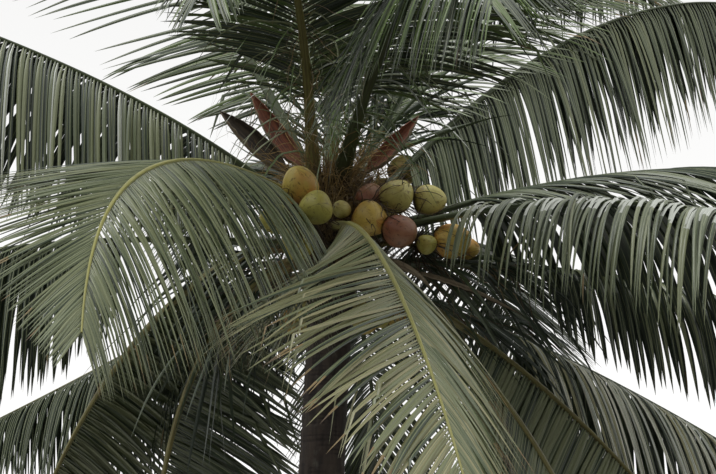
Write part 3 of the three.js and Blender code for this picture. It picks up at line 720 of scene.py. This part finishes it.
def trunkRadius(height, turn):
    shape = trunkShape
    shaft = shape["foot"] - shape["taper"] * height / crown["middle"][2]
    flare = shape["flare"] * np.exp(-height / shape["flareHeight"])
    lobe = shape["lobeDepth"] * np.exp(-height / shape["lobeHeight"]) * np.cos(shape["lobes"] * turn)
    sheath = easeStep(height, shape["sheathFrom"], shape["sheathTo"])
    heart = heartRadius(height - crown["middle"][2])
    radius = lerp((shaft + flare) * (1 + lobe), heart, sheath)
    return lerp(radius, shape["tipRadius"], easeStep(height, shape["heartTop"], shape["top"]))


def trunkPaint():
    paint = Paint("bark")
    fibres = paint.grain("Object", (34.0, 34.0, 5.0), 5.0)
    patches = paint.grain("Object", (5.0, 5.0, 2.0), 4.0)
    lichens = paint.grain("Object", (13.0, 13.0, 9.0), 5.0, 0.65)
    wood = paint.blend(paint.between(fibres, 0.32, 0.68), tone(60, 52, 45), tone(98, 86, 74))
    reddish = paint.cover(wood, patches, 0.48, 0.70, 0.5, tone(74, 54, 42))
    greyed = paint.cover(reddish, lichens, 0.56, 0.70, 0.65, tone(112, 110, 98))
    dark = paint.cover(greyed, paint.mark("groove"), 0.2, 0.9, 0.85, tone(28, 23, 20))
    # painted shade: the bark darkens toward the crown, standing in for the shade the crown casts on the
    # trunk's top
    damp = paint.blend(paint.mark("crownward") * 0.6, dark, tone(34, 28, 25))
    normal = paint.bump(fibres + 0.5 * lichens, 0.7, 0.005)
    return paint.finish(colour=damp, roughness=0.80 + 0.18 * fibres, normal=normal)


def growTrunk():
    shape = trunkShape
    height = np.linspace(0, shape["top"], shape["rows"])
    height, turn = np.meshgrid(height, roundTurns(shape["columns"]), indexing="ij")
    radius = trunkRadius(height, turn)
    middle = trunkMiddle(height)
    outward = np.stack([np.cos(turn), np.sin(turn), 0 * turn], -1)
    places = middle + outward * radius[..., None]
    wander, fine, split = [barkNoise(places, stretch, start) for stretch, start in barkNoises]
    pitch = lerp(shape["scarPitch"], shape["scarPitchTop"], height / shape["top"])
    ring = height / pitch + shape["scarWander"] * wander
    ring = ring + 0.22 * np.sin(turn + 2.4 * np.floor(height / pitch / 3))
    part = ring - np.floor(ring)
    nearGroove = np.exp(-(np.minimum(part, 1 - part) / shape["scarWidth"]) ** 2)
    cracks = easeStep(split, 0.22, 0.5)
    shaftOnly = 1 - easeStep(height, shape["sheathFrom"], shape["sheathTo"])
    relief = shape["lip"] * (part - 0.5) - shape["groove"] * nearGroove - shape["crack"] * cracks
    relief = relief * lerp(0.35, 1.0, easeStep(height, 0.0, 0.5)) + shape["fine"] * fine
    relief = relief + shape["knots"] * np.maximum(0, fine) * np.exp(-height / shape["knotHeight"])
    radius = radius + relief * lerp(0.5, 1, shaftOnly)
    points = middle + outward * radius[..., None]
    points[0, :, 2] = 0
    groove = np.clip(nearGroove * 0.75 + cracks * 0.7, 0, 1)
    crownward = easeStep(height, *shape["damp"])
    makePiece("trunkBark", points, roundFaces(shape), [trunkPaint()], ["trunk"],
              marks={"groove": groove, "crownward": crownward})


growTrunk()
print("trunk done")


# Nuts in their husks
nutTones = {
    "nutGreen": dict(base=(164, 158, 78), blush=(150, 128, 58), stain=(96, 78, 36)),
    "nutAmber": dict(base=(184, 164, 82), blush=(194, 132, 62), stain=(104, 76, 36)),
    "nutPale": dict(base=(176, 168, 98), blush=(146, 128, 62), stain=(104, 84, 42)),
    "nutOrange": dict(base=(178, 152, 70), blush=(178, 112, 48), stain=(102, 66, 32)),
    "nutRed": dict(base=(136, 98, 70), blush=(124, 66, 48), stain=(66, 42, 30)),
}
nutShape = dict(rows=34, columns=44, length=1.14, ridge=0.06, blunt=2.1, narrow=0.13)
calyxShape = dict(rows=7, columns=48, start=-0.985, end=-0.70, scale=0.10, lift=0.004)


def nutPaint(name, base, blush, stain):
    paint = Paint(name)
    warm = paint.mark("blush")
    mottle = paint.grain("Object", 16.0, 4.0)
    streaks = paint.grain("UV", (22.0, 1.6, 1.0), 4.0, 0.6)
    scars = paint.grain("Object", 46.0, 3.0)
    skin = paint.cover(tone(*base), mottle, 0.36, 0.66, 0.5, tone(*base, 0.74))
    flushed = paint.blend(warm * paint.between(mottle, 0.25, 0.6), skin, tone(*blush))
    lined = paint.cover(flushed, streaks, 0.54, 0.70, 0.65, tone(*stain))
    scarred = paint.cover(lined, scars, 0.58, 0.68, 0.65, tone(*stain, 0.8))
    normal = paint.bump(0.7 * streaks + 0.5 * mottle, 0.30, 0.004)
    roughness = 0.34 + 0.22 * mottle
    return paint.finish(colour=scarred, roughness=roughness, normal=normal, ior=1.45)


def huskPaint(name, light, dark):
    paint = Paint(name)
    fibres = paint.grain("UV", (30.0, 2.0, 1.0), 4.0)
    patches = paint.grain("Object", 30.0, 4.0)
    colour = paint.blend(paint.between(fibres, 0.34, 0.66), tone(*light), tone(*dark))
    colour = paint.cover(colour, patches, 0.5, 0.72, 0.6, tone(*dark, 0.7))
    return paint.finish(colour=colour, roughness=0.75, normal=paint.bump(fibres, 0.5, 0.002))


nutPaints = {name: nutPaint(name, **tones) for name, tones in nutTones.items()}
calyxPaint = huskPaint("calyx", (112, 96, 62), (66, 50, 34))
stalkPaint = huskPaint("stalk", (116, 108, 58), (78, 66, 38))
twigPaint = huskPaint("twig", (76, 62, 44), (42, 34, 26))


def nutProfile(share, radius):
    shape = nutShape
    return radius * (1 - np.abs(share) ** shape["blunt"]) ** 0.52 * (1 - shape["narrow"] * share)


def nutSkin(centre, hub, radius, share, turn, girth):
    # points round a nut that points away from its hub
    way = unit(centre - hub)
    across = unit(np.cross(way, np.array([0.31, 0.17, 0.93])))
    out = turned(across, np.cross(way, across), turn[..., None])[0] * girth[..., None]
    return (centre + way * (radius * nutShape["length"] * share)[..., None] + out)[None]


def growNut(centre, hub, radius, phase):
    shape = nutShape
    share = -np.cos(np.linspace(0.0, math.pi, shape["rows"]))
    share, turn = np.meshgrid(share, roundTurns(shape["columns"]), indexing="ij")
    girth = nutProfile(share, radius) * (1 + shape["ridge"] * np.cos(3 * turn + phase) * (1 - share ** 2))
    points = nutSkin(centre, hub, radius, share, turn, girth)
    uv = np.stack([turn / 2 / math.pi, share], -1)
    blush = np.clip(easeStep(share, 0.45, -0.95) + 0.5 * easeStep(np.cos(turn - phase), 0.3, 1), 0, 1)
    return points, roundFaces(shape), uv[None], blush


def growCalyx(centre, hub, radius, phase):
    # the cap of scales on a nut's stem end
    shape = calyxShape
    turn = roundTurns(shape["columns"])
    lobes = np.abs(np.cos(1.5 * turn + phase)) ** 0.6
    end = shape["end"] - shape["scale"] + shape["scale"] * 1.6 * lobes
    rows = np.linspace(0, 1, shape["rows"])[:, None]
    share = lerp(shape["start"], end[None], rows)
    girth = nutProfile(share, radius) + shape["lift"] * (1 + 1.4 * rows ** 3)
    points = nutSkin(centre, hub, radius, share, turn, girth)
    uv = np.stack(np.broadcast_arrays(turn / 2 / math.pi * 6, rows * 0.3), -1)
    return points, roundFaces(shape), uv[None]


def tubePart(paths, radii, sides, slot=0):
    points, faces = tubes(paths, radii, sides)
    return points, faces, tubeUv(points), slot


# Thin flower branches that droop round the nuts
bunchTwigs = dict(count=44, spread=0.75, length=(0.18, 0.42), steps=9, sag=0.9, wander=0.10,
                  radii=(0.0042, 0.0016), clear=0.006)


def growTwigs(hub, way, rng):
    shape = bunchTwigs
    count = shape["count"]
    aim = unit(way + rng.normal(0, shape["spread"], (count, 3)))
    length = rng.uniform(*shape["length"], count)

    def wayAt(step):
        sag = shape["sag"] * (step / shape["steps"]) ** 1.2
        return aim + down * sag + rng.normal(0, shape["wander"], (count, 3))

    paths = trail(np.repeat(hub[None], count, 0), length, shape["steps"], wayAt)
    return pushClear(paths, shape["clear"]), np.linspace(*shape["radii"], shape["steps"] + 1)[None]


def scatter(rng, shape):
    # feet round the crown's heart, and the way and length of what grows there
    count = shape["count"]
    heading = rng.uniform(*shape["headings"], count)
    height = rng.uniform(*shape["heights"], count)
    foot = inCrown(heading, heartRadius(height) + shape["out"], height)
    turn = np.radians(heading + rng.normal(0, shape["spread"], count))
    aim = unit(np.stack([np.cos(turn), np.sin(turn), rng.uniform(*shape["lift"], count)], -1))
    return foot, aim, rng.uniform(*shape["length"], count)


# Old flower twigs that stand and curl round the heart
flowerTwigs = dict(count=150, headings=(165, 385), heights=(0.12, 0.46), out=0, spread=30,
                   lift=(0.1, 1.7), length=(0.24, 0.60), steps=11, radii=(0.0030, 0.0012), wander=0.24,
                   sag=1.0, clear=0.005)
flowerTwigPaint = huskPaint("flowerTwig", (164, 136, 74), (108, 84, 48))


def growFlowerTwigs():
    shape = flowerTwigs
    rng = np.random.default_rng(640)
    foot, aim, length = scatter(rng, shape)
    bends = np.cumsum(rng.normal(0, shape["wander"], (shape["steps"], *aim.shape)), 0)

    def wayAt(step):
        along = step / shape["steps"]
        return aim + down * shape["sag"] * along ** 2 + bends[step] * along

    paths = pushClear(trail(foot, length, shape["steps"], wayAt), shape["clear"])
    radii = np.linspace(*shape["radii"], shape["steps"] + 1)[None]
    points, faces, uv = tubePart(paths, radii, 4)[:3]
    makePiece("flowerTwigs", points, faces, [flowerTwigPaint], [], uv=uv)


def growBunches():
    shape = stalkShape
    finishes = sorted(nutPaints)
    for number, (node, bunch) in enumerate(bunches.items()):
        rng = np.random.default_rng(300 + number)
        heading, height = bunch["seat"]
        hub = inCrown(*bunch["hub"])
        seat = inCrown(heading, heartRadius(height) - shape["inward"], height)
        bend = lerp(seat, hub, 0.6) + np.array([0, 0, shape["arch"]])
        stalk = alongCurve(seat, bend, hub, np.linspace(0, 1, 16))[None]
        parts = [tubePart(stalk, np.linspace(shape["base"], shape["hub"], 16)[None], 12),
                 tubePart(*growTwigs(hub, unit(hub - seat), rng), 5, 1)]
        nutParts, blushes = [], []
        for turn, reach, rise, radius, finish in bunch["nuts"]:
            centre = inCrown(turn, reach, rise)
            phase = rng.uniform(0, 6.28)
            bend = lerp(hub, centre, 0.5) + np.array([0, 0, shape["stemArch"]])
            stem = alongCurve(hub, bend, centre, np.linspace(0, 1, 8))[None]
            parts.append(tubePart(stem, np.full((1, 8), shape["stem"]), 8))
            parts.append((*growCalyx(centre, hub, radius, phase), 2))
            *nut, blush = growNut(centre, hub, radius, phase)
            nutParts.append((*nut, finishes.index(finish)))
            blushes.append(blush.ravel())
        points, faces, uv, slots = joinParts(parts)
        paints = [stalkPaint, twigPaint, calyxPaint]
        makePiece(pieceName(node, "Stalk"), points, faces, paints, [node], slots, uv)
        points, faces, uv, slots = joinParts(nutParts)
        paints = [nutPaints[name] for name in finishes]
        marks = {"blush": np.concatenate(blushes)}
        makePiece(pieceName(node, "Nuts"), points, faces, paints, [node], slots, uv, marks)


growBunches()
growFlowerTwigs()
print("nuts hung")


# Woody sheaths of old flower stalks: boats with a ribbed back and a smooth inside
sheaths = {
    "sheath_left_dark": dict(
        seat=(175, 0.24), bend=(-0.37, -0.02, 0.59), tip=(-0.66, -0.08, 0.81), width=0.072, roll=120,
        inside="sheathDark"),
    "sheath_left_red": dict(
        seat=(180, 0.33), bend=(-0.25, 0.02, 0.56), tip=(-0.49, 0.02, 0.954), width=0.064, roll=120,
        inside="sheathRed"),
    "sheath_right_red": dict(
        seat=(350, 0.35), bend=(0.26, -0.04, 0.50), tip=(0.50, -0.10, 0.78), width=0.062, roll=-120,
        inside="sheathRed"),
    "sheath_front_small": dict(
        seat=(311, 0.20), bend=(0.15, -0.12, 0.31), tip=(0.232, -0.16, 0.40), width=0.028, roll=0,
        inside="sheathPink"),
    "sheath_hanging": dict(
        seat=(302, -0.04), bend=(0.39, -0.40, -0.11), tip=(0.558, -0.50, -0.33), width=0.034, roll=0,
        inside="sheathPink"),
    "sheath_dry": dict(
        seat=(325, -0.06), bend=(0.60, -0.35, -0.20), tip=(1.06, -0.38, -0.45), width=0.032, roll=0,
        inside="sheathDark"),
}
sheathShape = dict(stem=0.013, stemShare=0.30, depth=0.75, wall=0.005, rows=44, columns=23, closed=174,
                   openTo=104, ridges=26, ridge=0.0016, thinnest=0.002)
sheathTones = {
    "sheathDark": dict(light=(78, 68, 52), dark=(40, 33, 27)),
    "sheathRed": dict(light=(132, 78, 52), dark=(76, 42, 30)),
    "sheathPink": dict(light=(140, 124, 116), dark=(104, 88, 80)),
    "sheathBack": dict(light=(134, 122, 98), dark=(86, 74, 56)),
}
sheathPaints = {name: huskPaint(name, **tones) for name, tones in sheathTones.items()}


def growSheath(sheath, rng):
    shape = sheathShape
    heading, height = sheath["seat"]
    middle = np.array(crown["middle"])
    seat = inCrown(heading, heartRadius(height) - stalkShape["inward"], height)
    share = np.linspace(0, 1, shape["rows"])
    bend, tip = np.array(sheath["bend"]) + middle, np.array(sheath["tip"]) + middle
    line = alongCurve(seat, bend, tip, share)
    ways = unit(np.gradient(line, axis=0))
    level = unit(np.cross(ways, -down))
    roll = math.radians(sheath["roll"])
    across = level * math.cos(roll) + np.cross(ways, level) * math.sin(roll)
    open = np.cross(ways, across)
    spread = np.maximum(0, (share - shape["stemShare"]) / (1 - shape["stemShare"]))
    swell = np.sin(math.pi * np.minimum(1, 0.1 + 0.9 * spread)) ** 0.8
    opened = easeStep(share, shape["stemShare"] - 0.04, shape["stemShare"] + 0.16)
    half = lerp(shape["stem"], np.maximum(sheath["width"] * swell, shape["thinnest"]), opened)
    depth = lerp(shape["stem"], np.maximum(half * shape["depth"], shape["thinnest"]), opened)
    reach = np.radians(lerp(shape["closed"], shape["openTo"] + drift(rng, share, 10), opened))
    turn = np.linspace(-1, 1, shape["columns"])[None] * reach[:, None]
    rows = []
    for inset, ridge in ((0.0, shape["ridge"]), (shape["wall"], 0.0)):
        swollen = ridge * np.cos(shape["ridges"] * turn / 1.8) * opened[:, None]
        wide = (np.maximum(half - inset, 0.001)[:, None] + swollen) * np.sin(turn)
        deep = -(np.maximum(depth - inset, 0.001)[:, None] + swollen) * np.cos(turn)
        rows.append(line[:, None] + across[:, None] * wide[..., None] + open[:, None] * deep[..., None])
    points = np.concatenate([rows[0], rows[1][:, ::-1]], 1)[None]
    columns = 2 * shape["columns"]
    faces = gridFaces(1, shape["rows"], columns, closed=True)
    inner = np.zeros((shape["rows"] - 1, columns), int)
    inner[:, shape["columns"] - 1:] = 1
    uv = np.stack(np.broadcast_arrays(np.arange(columns) / columns * 2, share[:, None]), -1)
    return points, faces, inner.ravel(), uv


def growSheaths():
    for number, (node, sheath) in enumerate(sheaths.items()):
        rng = np.random.default_rng(500 + number)
        points, faces, slots, uv = growSheath(sheath, rng)
        paints = [sheathPaints["sheathBack"], sheathPaints[sheath["inside"]]]
        makePiece(pieceName(node, "Boat"), points, faces, paints, [node], slots, uv)


growSheaths()
print("sheaths opened")


# Spear leaf
spearShape = dict(length=1.35, radius=0.024, belly=0.030, tip=0.002, sunk=0.02, lean=(0.060, 0.030),
                  rows=60, columns=30, pleats=9, pleat=0.10)


def growSpear():
    shape = spearShape
    foot = np.array([trunkShape["lean"], 0, trunkShape["top"] - shape["sunk"]])
    tip = foot + np.array([*shape["lean"], shape["length"] + shape["sunk"]])
    share = np.linspace(0, 1, shape["rows"])
    radii = [shape["radius"], shape["belly"], shape["radius"] * 0.7, shape["tip"]]
    belly = np.interp(share, [0, 0.3, 0.7, 1], radii)
    turn = roundTurns(shape["columns"])
    pleat = 1 + shape["pleat"] * np.cos(shape["pleats"] * turn[None] + 5 * share[:, None])
    girth = belly[:, None] * pleat
    ring = np.stack([np.cos(turn), np.sin(turn), 0 * turn], -1)
    points = lerp(foot, tip, share[:, None])[:, None] + ring[None] * girth[..., None]
    uv = np.stack(np.broadcast_arrays(turn[None] / 2, share[:, None] * shape["length"]), -1)
    paints = [leafPaints["fresh"]]
    makePiece("spearLeafBlade", points, roundFaces(shape), paints, ["spear_leaf"], uv=uv)


growSpear()
print("spear leaf up")


# Thin blades and withered strands that hang from the stalks of the fronds that are named
drapes = {
    "youngBlades": dict(
        count=44, share=(0.07, 0.27), length=(0.35, 0.95), width=0.012, sag=1.9, wander=0.10,
        tones=dict(fresh=3, pale=4, silver=1),
        fronds=["frond_overhead_front", "frond_overhead_right", "frond_upright_back",
                "frond_upright_right"]),
    "backBlades": dict(
        count=70, share=(0.05, 0.30), length=(0.45, 1.00), width=0.028, sag=0.45, wander=0.03,
        tones=dict(fresh=3, green=4, shade=3),
        fronds=["frond_upright_right", "frond_upright_back", "frond_back_rising"]),
    # dark blades that fill gaps in the crown; their dark tones are painted shade
    "shadeBlades": dict(
        count=46, share=(0.04, 0.24), length=(0.45, 0.95), width=0.030, sag=1.3, wander=0.04,
        tones=dict(shade=4, deep=4, green=2),
        fronds=["frond_hanging_left", "frond_hanging_back", "frond_left_low", "frond_right_low",
                "frond_right_lower"]),
    "witheredStrands": dict(
        count=48, share=(0.10, 0.30), length=(0.20, 0.65), width=0.007, sag=2.6, wander=0.32,
        tones=dict(tan=4, brown=3, straw=1),
        fronds=["frond_upright_left", "frond_overhead_front"]),
    "dryTatters": dict(
        count=46, share=(0.05, 0.20), length=(0.20, 0.60), width=0.009, sag=1.2, wander=0.22,
        tones=dict(tan=3, brown=5),
        fronds=["frond_right_lower", "frond_right_low", "frond_hanging_back"]),
}
drapeShape = dict(steps=12, foot=0.02, forward=0.9, outward=(0.2, 1.0), lift=0.3, width=(0.6, 1.2),
                  fold=40)


def growDrape(name, drape, rng):
    shape = drapeShape
    feet, aims = [], []
    for node in drape["fronds"]:
        frond = fullFrond(node)
        share = rng.uniform(*drape["share"], drape["count"])
        forward, right, face = ribAxes(frond, share)
        right = right * rng.choice([-1.0, 1.0], drape["count"])[:, None]
        outward = right * rng.uniform(*shape["outward"], drape["count"])[:, None]
        lift = face * rng.normal(0, shape["lift"], drape["count"])[:, None]
        feet.append(onLine(ribLine(frond), share) + right * shape["foot"])
        aims.append(forward * shape["forward"] + outward + lift)
    foot, aim = np.concatenate(feet), unit(np.concatenate(aims))
    count, steps = len(foot), shape["steps"]
    length = rng.uniform(*drape["length"], count)
    bends = np.cumsum(rng.normal(0, drape["wander"], (steps, count, 3)), 0)

    def wayAt(step):
        return aim + pull * drape["sag"] * ((step + 1) / steps) ** 0.7 + bends[step]

    paths = pushClear(trail(foot, length, steps, wayAt), leafletShape["clear"])
    across, other = turned(*crossAxes(paths), rng.uniform(0, 2 * math.pi, count)[:, None, None])
    along = np.arange(steps + 1) / steps
    half = drape["width"] / 2 * rng.uniform(*shape["width"], count)[:, None]
    half = half * ((1 - along ** 2.5) + 0.04)[None]
    points = ribbons(paths, across, other, half, shape["fold"] * (1 - along))
    slots = np.repeat(dealOut(rng, drape["tones"], count), steps * 3)
    uv = bladeUv(np.tile(along * 0.7, (count, 1)))
    paints = [leafPaints[tint] for tint in drape["tones"]]
    makePiece(name, points, gridFaces(count, steps + 1, 4), paints, [], slots, uv)


for number, (name, drape) in enumerate(drapes.items()):
    growDrape(name, drape, np.random.default_rng(800 + number))
print("young and withered blades hung")


# Fibres that wrap the leaf bases
fibreShape = dict(count=1800, headings=(0, 360), heights=(-0.16, 0.44), out=0.004, spread=50,
                  lift=(-0.4, 2.2), length=(0.12, 0.46), steps=9, radius=0.0019, curl=0.8, sag=1.4,
                  wander=0.22, clear=0.003)


def fibrePaint():
    paint = Paint("fibre")
    tints = paint.grain("Object", 9.0)
    colour = paint.blend(paint.between(tints, 0.36, 0.64), tone(134, 112, 70), tone(76, 62, 44))
    return paint.finish(colour=colour, roughness=0.8)


def growFibres():
    shape = fibreShape
    rng = np.random.default_rng(700)
    foot, aim, length = scatter(rng, shape)
    curl = rng.normal(0, shape["curl"], aim.shape)

    def wayAt(step):
        along = step / shape["steps"]
        stray = rng.normal(0, shape["wander"], aim.shape)
        return aim + curl * along + down * shape["sag"] * along ** 2 + stray

    paths = pushClear(trail(foot, length, shape["steps"], wayAt), shape["clear"])
    radii = shape["radius"] * np.linspace(1.3, 0.4, shape["steps"] + 1)[None]
    points, faces, uv = tubePart(paths, radii, 3)[:3]
    makePiece("crownFibres", points, faces, [fibrePaint()], [], uv=uv)


growFibres()
print("fibres tangled")


# Floor, sky, lamp and camera
def floorPaint():
    paint = Paint("floor")
    worn = paint.grain("Object", 0.8)
    colour = paint.blend(paint.between(worn, 0.35, 0.65), tone(184, 183, 178), tone(174, 173, 168))
    return paint.finish(colour=colour, roughness=0.9)


def makeFloor(radius=5.6, sides=96, drop=0.002):
    turns = roundTurns(sides)
    points = np.stack([radius * np.cos(turns), radius * np.sin(turns), 0 * turns - drop], -1)
    mesh = bpy.data.meshes.new("floor")
    mesh.from_pydata(points.tolist(), [], [list(range(sides))])
    mesh.materials.append(floorPaint())
    floor = newObject("floor", mesh)


# how bright the sky is, from straight down at 0 to straight up at 1
skyLevels = [(0.0, 0.08), (0.485, 0.08), (0.515, 1.12), (0.7, 0.86), (1.0, 1.0)]
skyTint = np.array([1, 0.998, 0.99])


def makeSky():
    world = bpy.data.worlds.new("overcastSky")
    bpy.context.scene.world = world
    world.use_nodes = True
    tree = world.node_tree
    backdrop = tree.nodes["Background"]
    kinds = ["TexCoord", "SeparateXYZ", "MapRange", "ValToRGB"]
    place, split, lift, ramp = [tree.nodes.new("ShaderNode" + kind) for kind in kinds]
    lift.inputs["From Min"].default_value = -1
    tree.links.new(place.outputs["Generated"], split.inputs[0])
    tree.links.new(split.outputs["Z"], lift.inputs["Value"])
    tree.links.new(lift.outputs[0], ramp.inputs[0])
    tree.links.new(ramp.outputs[0], backdrop.inputs["Color"])
    brightest = max(level for height, level in skyLevels)
    backdrop.inputs["Strength"].default_value = brightest
    stops = ramp.color_ramp.elements
    stops.remove(stops[-1])
    for i, (height, level) in enumerate(skyLevels):
        stop = stops[0] if i == 0 else stops.new(height)
        stop.position = height
        stop.color = (*(skyTint * level / brightest), 1)


lampShape = dict(strength=1.5, softness=35, tilt=25, heading=-150)


def makeLamp():
    lamp = bpy.data.lights.new("softSun", "SUN")
    lamp.energy = lampShape["strength"]
    lamp.angle = math.radians(lampShape["softness"])
    holder = newObject("softSun", lamp)
    holder.rotation_euler = (math.radians(lampShape["tilt"]), 0, math.radians(lampShape["heading"] + 90))


cameraShape = dict(elevation=12, distance=15.0, metresPerPixel=0.0058, crownPixel=(333, 250),
                   frame=(716, 474), sensor=36)


def makeCamera():
    shape = cameraShape
    tilt = math.radians(shape["elevation"])
    forward = Vector((0, math.cos(tilt), math.sin(tilt)))
    right = Vector((1, 0, 0))
    upward = right.cross(forward)
    width, height = shape["frame"]
    aside = (width / 2 - shape["crownPixel"][0]) * shape["metresPerPixel"]
    above = (shape["crownPixel"][1] - height / 2) * shape["metresPerPixel"]
    target = Vector(crown["middle"]) + right * aside + upward * above
    camera = bpy.data.cameras.new("camera")
    camera.sensor_width = shape["sensor"]
    camera.lens = shape["sensor"] * shape["distance"] / (width * shape["metresPerPixel"])
    camera.clip_end = 300
    holder = newObject("camera", camera)
    holder.location = target - forward * shape["distance"]
    holder.rotation_euler = (math.radians(90 + shape["elevation"]), 0, 0)
    bpy.context.scene.camera = holder


makeFloor()
makeSky()
makeLamp()
makeCamera()
bpy.context.scene.view_settings.view_transform = "Standard"
print("floor, sky, lamp and camera set")
